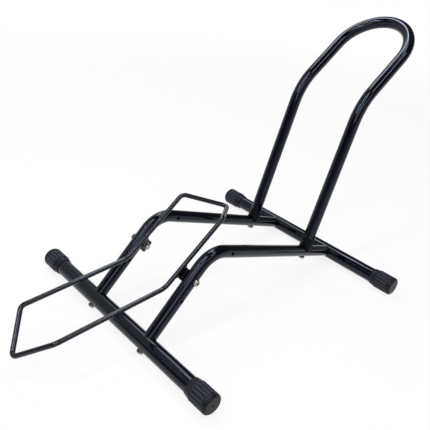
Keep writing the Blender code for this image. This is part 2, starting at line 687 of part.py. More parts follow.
def pivot_fasteners():
    """The cradle's pivot bolts, each with its washer and nut inside the bracket."""
    head_seat = RAIL_X + RAIL_RADIUS + SEAT_GAP
    washer_seat = CRADLE_X - BRACKET_THICKNESS / 2 - SEAT_GAP
    nut_seat = washer_seat - WASHER_THICKNESS - SEAT_GAP
    length = head_seat - nut_seat + NUT_HEIGHT + NUT_THREAD_SHOWN
    bolts = bolt_mesh("pivot_bolt", length)
    washers = turned_mesh(
        "pivot_washer",
        [(WASHER_DIAMETER / 2, WASHER_THICKNESS), (WASHER_DIAMETER / 2, 0.0),
         (HOLE_RADIUS, 0.0), (HOLE_RADIUS, WASHER_THICKNESS)], HOLE_SIDES, ZINC)
    nuts = nut_mesh()
    for side, word in ((-1, "left"), (1, "right")):
        inwards = side_x(-side, 1.0)
        bolt = link(f"pivot_bolt_{word}", bolts, ZINC, STAND)
        place(bolt, PIVOT + side_x(side, head_seat), -inwards)
        washer = link(f"pivot_washer_{word}", washers, ZINC, STAND)
        place(washer, PIVOT + side_x(side, washer_seat), inwards)
        nut = link(f"pivot_nut_{word}", nuts, ZINC, STAND)
        place(nut, PIVOT + side_x(side, nut_seat), inwards)


def nut_mesh():
    """A hexagon nut with the bolt's clearance bore."""
    body = bmesh.new()
    corner = NUT_WIDTH / math.sqrt(3)
    bmesh.ops.create_cone(
        body, cap_ends=True, segments=6, radius1=corner, radius2=corner, depth=NUT_HEIGHT,
        matrix=Matrix.Translation((0.0, 0.0, NUT_HEIGHT / 2)))
    mesh = bpy.data.meshes.new("nut_blank")
    body.to_mesh(mesh)
    body.free()
    blank = link("nut_blank", mesh, ZINC)
    reach = Vector((0.0, 0.0, NUT_HEIGHT))
    bore = rods_cutter("nut_bore", [(-reach, 2 * reach, HOLE_RADIUS, HOLE_SIDES)], None)
    combine(blank, bore, "DIFFERENCE")
    graph = bpy.context.evaluated_depsgraph_get()
    mesh = bpy.data.meshes.new_from_object(blank.evaluated_get(graph))
    mesh.name = "pivot_nut"
    bpy.data.objects.remove(blank, do_unlink=True)
    bpy.data.objects.remove(bore, do_unlink=True)
    smooth(mesh)
    return mesh


crossbar("front_crossbar", FRONT_BAR, RAIL_RISE)
crossbar("rear_crossbar", REAR_BAR, RAIL_FALL)
end_caps()
for SIDE, WORD in ((-1, "left"), (1, "right")):
    rail(f"rail_{WORD}", SIDE)
    saddle(f"hoop_saddle_{WORD}", SIDE)
    bracket(f"pivot_bracket_{WORD}", SIDE)
    spacer(f"pivot_spacer_{WORD}", SIDE)
hoop()
cradle_wire()
bar_bolts("front", FRONT_BAR, RAIL_RISE)
bar_bolts("rear", REAR_BAR, -RAIL_FALL)
hoop_bolts()
pivot_fasteners()
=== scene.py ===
"""Floor bike stand, dressed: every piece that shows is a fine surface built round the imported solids.

Metres, +Z up. The wheel rolls in along +Y, +X is the stand's right side, and the floor is Z = 0.
"""
import json
import math

import bmesh
import bpy
import numpy as np
from mathutils import Matrix, Vector


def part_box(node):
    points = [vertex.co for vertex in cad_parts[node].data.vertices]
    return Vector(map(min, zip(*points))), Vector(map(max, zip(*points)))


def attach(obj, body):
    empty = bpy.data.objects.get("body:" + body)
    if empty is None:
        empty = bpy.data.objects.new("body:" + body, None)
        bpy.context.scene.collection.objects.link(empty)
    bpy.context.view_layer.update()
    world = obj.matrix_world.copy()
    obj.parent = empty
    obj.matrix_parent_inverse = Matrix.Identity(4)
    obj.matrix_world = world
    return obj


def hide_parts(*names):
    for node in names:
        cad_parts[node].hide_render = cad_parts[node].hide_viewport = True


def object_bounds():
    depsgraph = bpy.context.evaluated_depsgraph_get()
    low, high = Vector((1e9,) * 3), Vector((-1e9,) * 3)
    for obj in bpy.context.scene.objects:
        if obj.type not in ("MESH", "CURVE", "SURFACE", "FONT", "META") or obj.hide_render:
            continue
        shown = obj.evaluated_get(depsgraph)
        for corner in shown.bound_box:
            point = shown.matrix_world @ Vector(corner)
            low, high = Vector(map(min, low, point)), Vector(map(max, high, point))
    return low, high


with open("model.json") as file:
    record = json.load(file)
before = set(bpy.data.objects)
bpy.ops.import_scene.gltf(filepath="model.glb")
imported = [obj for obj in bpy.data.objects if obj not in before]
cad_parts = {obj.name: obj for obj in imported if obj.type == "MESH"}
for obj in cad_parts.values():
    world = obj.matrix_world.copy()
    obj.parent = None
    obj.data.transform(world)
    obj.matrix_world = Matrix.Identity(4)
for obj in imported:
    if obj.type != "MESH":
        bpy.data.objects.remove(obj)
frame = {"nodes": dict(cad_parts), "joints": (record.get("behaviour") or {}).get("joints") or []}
cad_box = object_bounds()


# Camera: it stands off the front right cap, higher than the hoop's crown, and is rolled a few
# degrees, which is how the stand was looked at.
CAMERA_PLACE = Vector((0.593075, -0.633424, 0.617584))
CAMERA_AZIMUTH = math.radians(44.872)
CAMERA_ELEVATION = math.radians(28.881)
CAMERA_ROLL = math.radians(5.705)
SENSOR_WIDTH = 36.0
FOCAL_LENGTH = 45.974


def added(name, data):
    """A new object of the scene that shows the data."""
    made = bpy.data.objects.new(name, data)
    bpy.context.scene.collection.objects.link(made)
    return made


camera = added("camera", bpy.data.cameras.new("camera"))
bpy.context.scene.camera = camera
camera.data.sensor_width = SENSOR_WIDTH
camera.data.lens = FOCAL_LENGTH
camera.matrix_world = (
    Matrix.Translation(CAMERA_PLACE)
    @ Matrix.Rotation(CAMERA_AZIMUTH, 4, "Z")
    @ Matrix.Rotation(math.pi / 2 - CAMERA_ELEVATION, 4, "X")
    @ Matrix.Rotation(CAMERA_ROLL, 4, "Z"))
bpy.context.scene.view_settings.view_transform = "Standard"


# Floor and room: a flat white studio floor that keeps the stand's soft shadow and fades far away to
# the room, which is pale grey at floor level and dim above.
FLOOR_RADIUS = 16.0
FLOOR_RINGS = 24
FLOOR_SPOKES = 64
SHADOW_REACH = 0.9
WHITE_FROM = 2.6
FADE_FROM = 7.0
FLOOR_WHITE = 0.90
GLOW_SHARE = 0.84
ROOM_HORIZON = 0.42
ROOM_GREY = 0.11
ROOM_CLIMB = 0.28
ROOM_TINT = (0.93, 0.96, 1.0)
PURE_WHITE = (1.0, 1.0, 1.0)
MERGE_DISTANCE = 1e-6


def skin(name, grid, finish, along=False, left_out=None, edge=None, closed=True, sharp=None):
    """A piece whose mesh is a grid of points, with a UV map in metres and a mask called edge.

    Columns run round the piece, so the last joins the first. Rows run along it, and join up too where
    it is closed along. Faces that touch a point marked as left out aren't made. U is the mean distance
    walked over the columns, and V is the mean distance walked over the rows. Doubles are merged,
    unused points are dropped, a closed skin's faces are turned outwards, and edges that turn by more
    than the sharp angle, in degrees, aren't smoothed.
    """
    rows, columns = grid.shape[:2]
    looped = np.concatenate((grid, grid[:, :1]), axis=1)
    if along:
        looped = np.concatenate((looped, looped[:1]), axis=0)
    step_u = np.linalg.norm(np.diff(looped, axis=1), axis=2).mean(axis=0)
    step_v = np.linalg.norm(np.diff(looped, axis=0), axis=2).mean(axis=1)
    walked_u = np.concatenate(([0.0], np.cumsum(step_u)))
    walked_v = np.concatenate(([0.0], np.cumsum(step_v)))
    row, column = np.indices((len(step_v), len(step_u))).reshape(2, -1, 1)
    corner_rows = row + np.array((0, 0, 1, 1))
    corner_columns = column + np.array((0, 1, 1, 0))
    faces = (corner_rows % rows) * columns + corner_columns % columns
    if left_out is not None:
        kept = ~left_out.ravel()[faces].any(axis=1)
        faces, corner_rows, corner_columns = faces[kept], corner_rows[kept], corner_columns[kept]
    mesh = bpy.data.meshes.new(name)
    mesh.from_pydata(grid.reshape(-1, 3), [], faces)
    uv = np.stack((walked_u[corner_columns], walked_v[corner_rows]), axis=-1)
    mesh.uv_layers.new(name="walked").data.foreach_set("uv", uv.astype(np.float32).ravel())
    mask = mesh.attributes.new("edge", "FLOAT", "POINT")
    if edge is not None:
        mask.data.foreach_set("value", edge.astype(np.float32).ravel())
    body = bmesh.new()
    body.from_mesh(mesh)
    bmesh.ops.remove_doubles(body, verts=body.verts, dist=MERGE_DISTANCE)
    bmesh.ops.delete(body, geom=[v for v in body.verts if not v.link_faces], context="VERTS")
    if closed:
        bmesh.ops.recalc_face_normals(body, faces=body.faces)
    body.to_mesh(mesh)
    body.free()
    mesh.shade_smooth()
    mesh.materials.append(finish)
    if sharp is not None:
        mesh.set_sharp_from_angle(angle=math.radians(sharp))
    return added(name, mesh)


def round_turns(count):
    """One row of even turns round a circle."""
    return np.linspace(0.0, 2 * np.pi, count, endpoint=False)[None, :]


def node(tree, kind, inputs=None, **settings):
    """A shader node with its settings, whose inputs each take a value or another node's output."""
    made = tree.nodes.new(kind)
    for name, value in settings.items():
        setattr(made, name, value)
    for socket, value in (inputs or {}).items():
        if isinstance(value, bpy.types.NodeSocket):
            tree.links.new(value, made.inputs[socket])
        else:
            made.inputs[socket].default_value = value
    return made


def worked_out(tree, operation, *values):
    """What a maths operation makes of values and other nodes' outputs."""
    return node(tree, "ShaderNodeMath", dict(enumerate(values)), operation=operation).outputs[0]


def carried(tree, value, low, high, to_low=0.0, to_high=1.0, step="SMOOTHSTEP"):
    """A value carried from one range to another, by a smooth step unless told otherwise."""
    return node(tree, "ShaderNodeMapRange", {
        "Value": value, "From Min": low, "From Max": high, "To Min": to_low, "To Max": to_high},
        interpolation_type=step).outputs["Result"]


def tinted(tree, share, first, second):
    """The mix of two colours, or of a node's colour and a colour, by a mask."""
    inputs = {"Factor": share, 7: (*second, 1.0)}
    inputs[6] = first if isinstance(first, bpy.types.NodeSocket) else (*first, 1.0)
    return node(tree, "ShaderNodeMix", inputs, data_type="RGBA").outputs[2]


def blank_material(name):
    made = bpy.data.materials.new(name)
    made.use_nodes = True
    made.node_tree.nodes.clear()
    return made, made.node_tree


def white_floor():
    """Diffuse paper to light and shadow; to the eye, glass and metal it glows up to plain white."""
    made, tree = blank_material("white_floor")
    here = node(tree, "ShaderNodeTexCoord").outputs["Object"]
    away = node(tree, "ShaderNodeVectorMath", {0: here}, operation="LENGTH").outputs["Value"]
    open_floor = carried(tree, away, SHADOW_REACH, WHITE_FROM, GLOW_SHARE)
    fading = carried(tree, away, FADE_FROM, FLOOR_RADIUS)
    shade = tinted(tree, fading, PURE_WHITE, [ROOM_HORIZON * part for part in ROOM_TINT])
    path = node(tree, "ShaderNodeLightPath").outputs
    seen = worked_out(tree, "MAXIMUM", path["Is Camera Ray"], path["Is Glossy Ray"])
    seen = worked_out(tree, "MAXIMUM", seen, path["Is Transmission Ray"])
    share = worked_out(tree, "MULTIPLY", seen, open_floor)
    paper = node(tree, "ShaderNodeBsdfDiffuse", {"Color": (FLOOR_WHITE, FLOOR_WHITE, FLOOR_WHITE, 1.0)})
    glow = node(tree, "ShaderNodeEmission", {"Color": shade, "Strength": 1.0})
    mixed = node(tree, "ShaderNodeMixShader", {0: share, 1: paper.outputs[0], 2: glow.outputs[0]})
    node(tree, "ShaderNodeOutputMaterial", {"Surface": mixed.outputs[0]})
    return made


def disc(radius, rings, spokes):
    """A flat disc: rows are distances from its middle, growing as a square, and columns are turns."""
    distance = radius * np.linspace(0.0, 1.0, rings + 1)[:, None] ** 2
    turn = round_turns(spokes)
    return np.stack((distance * np.cos(turn), distance * np.sin(turn), 0.0 * distance * turn), axis=-1)


skin("studio_floor", disc(FLOOR_RADIUS, FLOOR_RINGS, FLOOR_SPOKES), white_floor(), closed=False)

world = bpy.data.worlds.new("room")
bpy.context.scene.world = world
world.use_nodes = True
world.node_tree.nodes.clear()
direction = node(world.node_tree, "ShaderNodeTexCoord").outputs["Generated"]
height = node(world.node_tree, "ShaderNodeSeparateXYZ", {0: direction}).outputs["Z"]
dimming = carried(world.node_tree, height, 0.0, ROOM_CLIMB, ROOM_HORIZON, ROOM_GREY)
room = node(world.node_tree, "ShaderNodeBackground", {"Color": (*ROOM_TINT, 1.0), "Strength": dimming})
node(world.node_tree, "ShaderNodeOutputWorld", {"Surface": room.outputs[0]})


# Lamps: soft boxes hung round the stand. Dim panels fill the left, the front and the right, and
# brighter boxes overhead draw the lines of light along the tubes.
LAMP_AIM = Vector((0.0, 0.0, 0.15))
LAMP_TINT = (0.93, 0.965, 1.0)
LAMP_WATTS_PER_LEVEL = math.pi


def soft_lamp(name, place, width, height, level):
    """A flat lamp that faces the stand, its width level, as bright to look at as its level."""
    lamp = bpy.data.lights.new(name, "AREA")
    lamp.shape = "RECTANGLE"
    lamp.size = width
    lamp.size_y = height
    lamp.color = LAMP_TINT
    lamp.energy = level * LAMP_WATTS_PER_LEVEL * width * height
    turn = (Vector(place) - LAMP_AIM).to_track_quat("Z", "Y")
    added(name, lamp).matrix_world = Matrix.Translation(place) @ turn.to_matrix().to_4x4()


soft_lamp("left_panel", (-2.28, -0.35, 1.50), 5.2, 3.0, 0.58)
soft_lamp("left_rear_panel", (-1.35, 0.88, 2.00), 0.7, 1.0, 3.2)
soft_lamp("right_panel", (2.17, -0.28, 1.63), 2.2, 0.9, 1.3)
soft_lamp("front_panel", (0.15, -1.90, 2.05), 1.7, 0.5, 3.4)
soft_lamp("front_right_panel", (1.54, -1.72, 1.40), 1.3, 0.9, 2.1)
soft_lamp("front_tall_box", (0.86, -0.92, 2.45), 0.34, 1.9, 7.6)
soft_lamp("top_strip", (-0.20, -1.10, 2.40), 0.10, 1.5, 36.0)
soft_lamp("left_box", (-1.00, 0.52, 2.42), 0.8, 0.34, 12.0)
soft_lamp("right_box", (1.45, 0.62, 2.30), 0.8, 0.34, 8.5)
soft_lamp("rear_box", (0.10, 0.60, 2.50), 1.3, 0.32, 3.6)


# Crossbars: two straight steel tubes on the floor, front and rear. Each is cut square, drilled right
# through under each rail for its bolt, and powder coated black.
TUBE_WALL = 0.0015
SEAT_GAP = 0.0003
EDGE_BREAK = 0.0003
BOLT_BORE = 0.0033
BAR_RADIUS = 0.014
BAR_STEP = 0.0060
RAIL_FRONT_ANGLE = math.radians(45.3)
RAIL_REAR_ANGLE = math.radians(20.0)
TUBE_SIDES = 96
PATCH_LINES = 8
PATCH_CORE = 4
PATCH_REACH = 0.0058
PATCH_CLEAR = 1.05
PATCH_SLACK = 1e-6
TINY = 1e-9
RIM_FADE = 0.0009
END_FADE = 0.0012
COPE_FADE = 0.012
PAINT_BLACK = (0.0003, 0.0005, 0.0024)
PAINT_WORN = (0.030, 0.032, 0.040)
PAINT_SHEEN = (0.66, 0.77, 1.0)
DUST_GREY = (0.12, 0.12, 0.13)
COAT_IOR = 1.45
GRAINS_PER_DIMPLE = 5.5
HANDLED_ABOVE = 0.78
HANDLED_FADE = 0.22
DUST_LIES_FROM = 0.15
DUST_CUT = (0.46, 0.74)
SCUFF_CUT = (0.64, 0.72)
ACROSS = np.array((1.0, 0.0, 0.0))


def shader_group(name, output, build, **inputs):
    """A node group whose one output is built from its inputs, vectors unless given a number."""
    group = bpy.data.node_groups.new(name, "ShaderNodeTree")
    for label, value in inputs.items():
        kind = "NodeSocketFloat" if isinstance(value, float) else "NodeSocketVector"
        socket = group.interface.new_socket(label.replace("_", " "), in_out="INPUT", socket_type=kind)
        if value is not None:
            socket.default_value = value
    group.interface.new_socket(output, in_out="OUTPUT", socket_type="NodeSocketFloat")
    given = group.nodes.new("NodeGroupInput").outputs
    node(group, "NodeGroupOutput", {output: build(group, given)})
    return group


def noise(tree, place, per_metre, detail, roughness, distortion=0.0):
    """Soft noise with so many lumps to the metre."""
    return node(tree, "ShaderNodeTexNoise", {
        "Vector": place, "Scale": per_metre, "Detail": detail, "Roughness": roughness,
        "Distortion": distortion}).outputs[0]


def skin_texture(tree, given):
    """The slow dimples of a sprayed or moulded skin, and a finer grain, as a height."""
    per_metre = worked_out(tree, "DIVIDE", 1.0, given["Dimple"])
    fine = worked_out(tree, "MULTIPLY", per_metre, GRAINS_PER_DIMPLE)
    dimples = noise(tree, given["Vector"], per_metre, detail=1.0, roughness=0.4)
    grain = noise(tree, given["Vector"], fine, detail=3.0, roughness=0.6)
    shares = {"Factor": given["Grain Share"], 2: dimples, 3: grain}
    return node(tree, "ShaderNodeMix", shares, data_type="FLOAT").outputs[0]


def handling(tree, given):
    """Patches where hands and cloths have been, from slow noise cut at a cover, as a mask."""
    per_metre = worked_out(tree, "DIVIDE", 1.0, given["Patch"])
    patches = noise(tree, given["Vector"], per_metre, detail=5.0, roughness=0.62, distortion=0.4)
    low = worked_out(tree, "SUBTRACT", HANDLED_ABOVE, given["Cover"])
    return carried(tree, patches, low, worked_out(tree, "ADD", low, HANDLED_FADE))


def settled_dust(tree, given):
    """Dust that lies where the skin faces up and thins out over speckles, as a mask."""
    up = node(tree, "ShaderNodeSeparateXYZ", {0: given["Normal"]}).outputs["Z"]
    facing = carried(tree, up, DUST_LIES_FROM, 1.0)
    per_metre = worked_out(tree, "DIVIDE", 1.0, given["Speckle"])
    speckle = noise(tree, given["Vector"], per_metre, detail=4.0, roughness=0.7)
    lying = worked_out(tree, "MULTIPLY", facing, carried(tree, speckle, *DUST_CUT, step="LINEAR"))
    return worked_out(tree, "MULTIPLY", lying, given["Amount"])


def scuffs(tree, given):
    """Short thin streaks, from noise drawn out along a direction and cut near its top, as a mask."""
    stretch = {0: given["Vector"], 1: given["Draw"]}
    drawn = node(tree, "ShaderNodeVectorMath", stretch, operation="MULTIPLY").outputs[0]
    streaks = noise(tree, drawn, 1.0, detail=2.0, roughness=0.5)
    cut = carried(tree, streaks, *SCUFF_CUT, step="LINEAR")
    return worked_out(tree, "MULTIPLY", cut, given["Amount"])


SKIN_TEXTURE = shader_group(
    "skin_texture", "Height", skin_texture, Vector=None, Dimple=0.0012, Grain_Share=0.3)
HANDLING = shader_group("handling", "Mask", handling, Vector=None, Patch=0.05, Cover=0.5)
DUST = shader_group(
    "settled_dust", "Mask", settled_dust, Vector=None, Normal=None, Speckle=0.0016, Amount=0.3)
SCUFFS = shader_group("scuffs", "Mask", scuffs, Vector=None, Draw=(60.0, 900.0, 900.0), Amount=0.3)


def grouped(tree, group, **inputs):
    """A shader group placed in a material, with its own values."""
    labelled = {label.replace("_", " "): value for label, value in inputs.items()}
    return node(tree, "ShaderNodeGroup", labelled, node_tree=group).outputs[0]


def raised(tree, base, *parts):
    """A value raised by each part in turn, which is a mask and how much it adds."""
    for mask, amount in parts:
        base = worked_out(tree, "MULTIPLY_ADD", mask, amount, base)
    return base


def started(name):
    """A blank material, with what its nodes read: place, facing and the mask called edge."""
    made, tree = blank_material(name)
    place = node(tree, "ShaderNodeTexCoord").outputs
    # The edge mask holds worn rims on coats, a painted highlight along rubber lands, and painted shade
    # in bolt sockets and low on bolt heads.
    edge = node(tree, "ShaderNodeAttribute", attribute_name="edge").outputs["Fac"]
    return made, tree, place["Object"], place["Normal"], edge


def glossy(gloss, sheen=PAINT_SHEEN):
    """The shader's own values for a coat, a moulding or rubber."""
    return {"IOR": COAT_IOR, "Specular IOR Level": gloss, "Specular Tint": (*sheen, 1.0)}


def completed(tree, colour, roughness, height, own_values, strength, distance):
    """Ends a material with the bump of its height and with its shader."""
    bump = node(tree, "ShaderNodeBump", {"Height": height, "Strength": strength, "Distance": distance})
    shader = node(tree, "ShaderNodeBsdfPrincipled", {
        "Base Color": colour, "Roughness": roughness, "Normal": bump.outputs[0], **own_values})
    node(tree, "ShaderNodeOutputMaterial", {"Surface": shader.outputs[0]})


def powder_coat(name, black, dullness, gloss, sheen=PAINT_SHEEN):
    """Sprayed and baked powder: soft dimples, a gloss that smudges dull, dust, and paler worn rims."""
    made, tree, here, facing, rim = started(name)
    smudges = grouped(tree, HANDLING, Vector=here, Patch=0.045, Cover=0.36)
    dust = grouped(tree, DUST, Vector=here, Normal=facing, Speckle=0.0013, Amount=0.02)
    streaks = grouped(tree, SCUFFS, Vector=here, Draw=(700.0, 45.0, 700.0), Amount=0.12)
    colour = tinted(tree, dust, black, DUST_GREY)
    colour = tinted(tree, raised(tree, 0.0, (rim, 0.35)), colour, PAINT_WORN)
    roughness = raised(tree, dullness, (smudges, 0.03), (dust, 0.08), (streaks, 0.05))
    height = grouped(tree, SKIN_TEXTURE, Vector=here, Dimple=0.0016, Grain_Share=0.25)
    completed(tree, colour, roughness, height, glossy(gloss, sheen), strength=0.003, distance=0.0003)
    return made


POWDER_COAT = powder_coat("black_powder_coat", PAINT_BLACK, dullness=0.085, gloss=0.48)


def swept(centres, headings, reference, radius, turn, slide=0.0):
    """A round skin along a path.

    Each row has its centre and heading. The turn is measured from the reference direction, squared to
    the heading, and a point is the centre plus radius times (cosine, sine) of its turn. Slide moves
    points along the heading.
    """
    reference = np.broadcast_to(reference, headings.shape)
    side = reference - (reference * headings).sum(axis=1, keepdims=True) * headings
    side /= np.linalg.norm(side, axis=1, keepdims=True)
    other = np.cross(headings, side)
    turn = np.broadcast_to(turn, (len(centres), turn.shape[-1]))
    ring = np.cos(turn)[..., None] * side[:, None] + np.sin(turn)[..., None] * other[:, None]
    radius = np.broadcast_to(radius, turn.shape)[..., None]
    slide = np.broadcast_to(slide, turn.shape)[..., None]
    return centres[:, None] + radius * ring + slide * headings[:, None]


def stations(start, end, spacing, drilled):
    """Places along a tube: even steps, but round each drilled place the even lines of its patch."""
    even = np.linspace(start, end, math.ceil((end - start) / spacing) + 1)
    patch = np.linspace(-PATCH_REACH, PATCH_REACH, 2 * PATCH_LINES + 1)
    for middle in drilled:
        even = even[np.abs(even - middle) > PATCH_REACH * PATCH_CLEAR]
        even = np.concatenate((even, middle + patch))
    return np.sort(even)


def swing(turn, angle):
    """How far each turn is from an angle, the shorter way round."""
    return (turn - angle + np.pi) % (2 * np.pi) - np.pi


def drill(travel, turn, radius, middle, angle):
    """Pulls a tube's lines into one round bolt hole.

    A point's shares of the patch, p along and q round, put it on a square ring. From the patch's edge
    inwards, each square ring eases into the drill's circle, and what lies inside the circle is marked.
    """
    reach_turn = PATCH_LINES * 2 * np.pi / turn.shape[1]
    core = PATCH_CORE / PATCH_LINES
    p = (travel - middle) / PATCH_REACH
    q = swing(turn, angle) / reach_turn
    share = np.maximum(np.abs(p), np.abs(q))
    near = share < 1.0 + PATCH_SLACK
    p, q, share = p[near], q[near], np.maximum(share[near], TINY)
    steep = np.abs(q) > np.abs(p)
    longer = np.where(steep, q, p)
    slant = np.where(steep, p, q) / np.where(longer == 0.0, 1.0, longer)
    spoke = np.where(steep, np.pi / 2 - np.pi / 4 * slant, np.pi / 4 * slant) + np.pi * (longer < 0.0)
    ease = np.clip((share - core) / (1.0 - core), 0.0, 1.0)
    along = (1 - ease) * BOLT_BORE * np.cos(spoke) + ease * PATCH_REACH * p / share
    across = (1 - ease) * BOLT_BORE * np.sin(spoke) + ease * radius * np.sin(reach_turn * q / share)
    travel, turn = travel.copy(), turn.copy()
    inside = np.zeros(travel.shape, bool)
    inside[near] = share < core - PATCH_SLACK
    travel[near] = middle + along
    turn[near] = angle + np.arcsin(np.clip(across / radius, -1.0, 1.0))
    return travel, turn, inside


def near_rim(travel, turn, radius, middle, angle):
    """A mask of one at a hole's rim that fades over a millimetre or two."""
    away = np.hypot(travel - middle, radius * swing(turn, angle))
    return np.exp(-np.maximum(away - BOLT_BORE, 0.0) / RIM_FADE)


def with_wall(piece):
    """Gives a tube's open skin its wall, inwards, and breaks the sharp edges of its ends and holes."""
    wall = piece.modifiers.new("wall", "SOLIDIFY")
    wall.thickness = TUBE_WALL
    wall.offset = -1.0
    wall.use_even_offset = True
    soft = piece.modifiers.new("edges", "BEVEL")
    soft.width = EDGE_BREAK
    soft.segments = 2
    soft.limit_method = "ANGLE"
    soft.angle_limit = math.radians(50.0)
    soft.harden_normals = True


def dressed(piece, node_name, body):
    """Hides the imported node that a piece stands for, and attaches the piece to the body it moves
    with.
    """
    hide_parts(node_name)
    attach(piece, body)


def drilled_tube(node_name, path, radius, start, end, spacing, holes, reference, cope=None):
    """A tube along a path between two travels, with round holes, each a travel and a turn.

    The path gives centres and headings for travels, and turns are measured from the reference. A cope
    is the radius of the round tubes that both ends are cut to sit on: there a point at height n off
    the tube's middle plane stands at the root of cope squared less n squared, and the cut fades into
    square lines over a short run. The rims of a coped tube are marked as edges.
    """
    travel = stations(start, end, spacing, sorted({middle for middle, _ in holes}))
    centres, headings = path(travel)
    where = np.repeat(travel[:, None], TUBE_SIDES, axis=1)
    turn = np.repeat(round_turns(TUBE_SIDES), len(travel), axis=0)
    gone = np.zeros(where.shape, bool)
    rim = np.zeros(where.shape)
    for middle, angle in holes:
        where, turn, inside = drill(where, turn, radius, middle, angle)
        gone |= inside
        rim = np.maximum(rim, near_rim(where, turn, radius, middle, angle))
    if cope is not None:
        for edge_travel, way in ((start, 1.0), (end, -1.0)):
            off_end = np.abs(travel - edge_travel)[:, None]
            rim = np.maximum(rim, np.exp(-off_end / END_FADE))
            cut = np.sqrt(cope ** 2 - (radius * np.sin(turn)) ** 2) - cope
            where = where + way * cut * np.clip(1.0 - off_end / COPE_FADE, 0.0, 1.0)
    grid = swept(centres, headings, reference, radius, turn, where - travel[:, None])
    edge = None if cope is None else rim
    piece = skin(node_name + "_tube", grid, POWDER_COAT, left_out=gone, edge=edge, closed=False)
    with_wall(piece)
    dressed(piece, node_name, "base")


def middle_of(node_name):
    low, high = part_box(node_name)
    return np.array((low + high) / 2)


def slope(angle):
    """A unit direction in the stand's side plane, rising rearwards at the angle."""
    return np.array((0.0, math.cos(angle), math.sin(angle)))


FRONT_BAR = middle_of("front_crossbar")
REAR_BAR = middle_of("rear_crossbar")
BAR_HALF_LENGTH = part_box("front_crossbar")[1].x
RAIL_X = middle_of("rail_right")[0]
RAIL_RISE = slope(RAIL_FRONT_ANGLE)
RAIL_FALL = slope(-RAIL_REAR_ANGLE)


def crossbar(node_name, axis_point, bolt_direction):
    """A straight tube along X, whose turn is measured from the bolts' direction."""
    def path(travel):
        return axis_point + travel[:, None] * ACROSS, np.repeat(ACROSS[None, :], len(travel), axis=0)

    holes = [(middle, angle) for middle in (-RAIL_X, RAIL_X) for angle in (0.0, np.pi)]
    drilled_tube(
        node_name, path, BAR_RADIUS, -BAR_HALF_LENGTH, BAR_HALF_LENGTH, BAR_STEP, holes, bolt_direction)


crossbar("front_crossbar", FRONT_BAR, RAIL_RISE)
crossbar("rear_crossbar", REAR_BAR, -RAIL_FALL)


# End caps: four cups of dark grey rubber, moulded with a flared lip, a step and eighteen flutes. They
# are pushed onto the crossbars' ends and are the feet that the stand rests on.
CAP_LENGTH = 0.0464
CAP_BORE = 0.0143
CAP_END_WALL = 0.0040
CAP_LIP_RADIUS = 0.0152
CAP_FLARE_RADIUS = 0.0169
CAP_FLARE_LENGTH = 0.0111
CAP_STEP_LENGTH = 0.0010
CAP_EDGE_RADIUS = 0.0045
CAP_FINE_EDGE = 0.0003
CAP_SOFT_EDGE = 0.0004
CAP_FLUTES = 18
CAP_FLUTE_DEPTH = 0.0009
CAP_LAND_SHARE = 0.56
CAP_GROOVE_SHARE = 0.92
CAP_LAND_CROWN = 0.00040
CAP_FLUTE_RUN_OUT = 0.0018
CAP_FLUTE_END = 0.0385
CAP_PIT_RADIUS = 0.0019
CAP_PIT_TAPER = 0.7
CAP_PIT_DEPTH = 0.0016
CAP_OUTSIDE_FROM = CAP_BORE + 0.0005
CAP_SIDES = CAP_FLUTES * 12
CAP_ROW_STEP = 0.0011
PROFILE_ARC_STEPS = 6
ARC_STEP = math.radians(2.0)
RUBBER_GREY = (0.0085, 0.0095, 0.0140)
# Paler rubber colour: real bloom in patches, and also a painted highlight along each land's crest.
RUBBER_BLOOM_AND_LAND_HIGHLIGHT = (0.080, 0.085, 0.102)
SIDES = ((-1, "left"), (1, "right"))


def rounded(corners, radii, arc_steps=PROFILE_ARC_STEPS):
    """A line or a profile through corners, with an arc of its radius at each.

    An arc is its middle plus its first and its last spoke, each weighted by the sine of what is left
    or done of the opening. Where no number of steps is given, each arc is cut by the angle step.
    """
    points = []
    corners = np.asarray(corners, float)
    for index, (corner, radius) in enumerate(zip(corners, radii)):
        if radius == 0.0:
            points.append(corner[None, :])
            continue
        before = corners[index - 1] - corner
        after = corners[(index + 1) % len(corners)] - corner
        before /= np.linalg.norm(before)
        after /= np.linalg.norm(after)
        half = math.acos(float(np.clip(before @ after, -1.0, 1.0))) / 2
        middle = corner + (before + after) / np.linalg.norm(before + after) * radius / math.sin(half)
        first = corner + before * radius / math.tan(half) - middle
        last = corner + after * radius / math.tan(half) - middle
        opening = math.pi - 2 * half
        steps = arc_steps or math.ceil(opening / ARC_STEP)
        done = np.linspace(0.0, 1.0, steps + 1)[:, None]
        arc = (np.sin((1 - done) * opening) * first + np.sin(done * opening) * last) / math.sin(opening)
        points.append(middle + arc)
    return np.concatenate(points)


def filled_in(line, spacing):
    """A line or a profile with extra points on its long straight runs."""
    runs = [line[:1]]
    for start, end in zip(line, line[1:]):
        count = max(1, math.ceil(np.linalg.norm(end - start) / spacing))
        runs.append(start + (end - start) * np.linspace(0.0, 1.0, count + 1)[1:, None])
    return np.concatenate(runs)


def turned(radii, heights, origin, axis, zero):
    """A turned skin: rows have their height up the axis, columns their turn from the zero direction."""
    turn = round_turns(radii.shape[1])[..., None]
    ring = np.cos(turn) * zero + np.sin(turn) * np.cross(axis, zero)
    heights = np.broadcast_to(heights, radii.shape)[..., None]
    return origin + radii[..., None] * ring + heights * axis


def smooth_step(low, high, value):
    share = np.clip((value - low) / (high - low), 0.0, 1.0)
    return share * share * (3 - 2 * share)


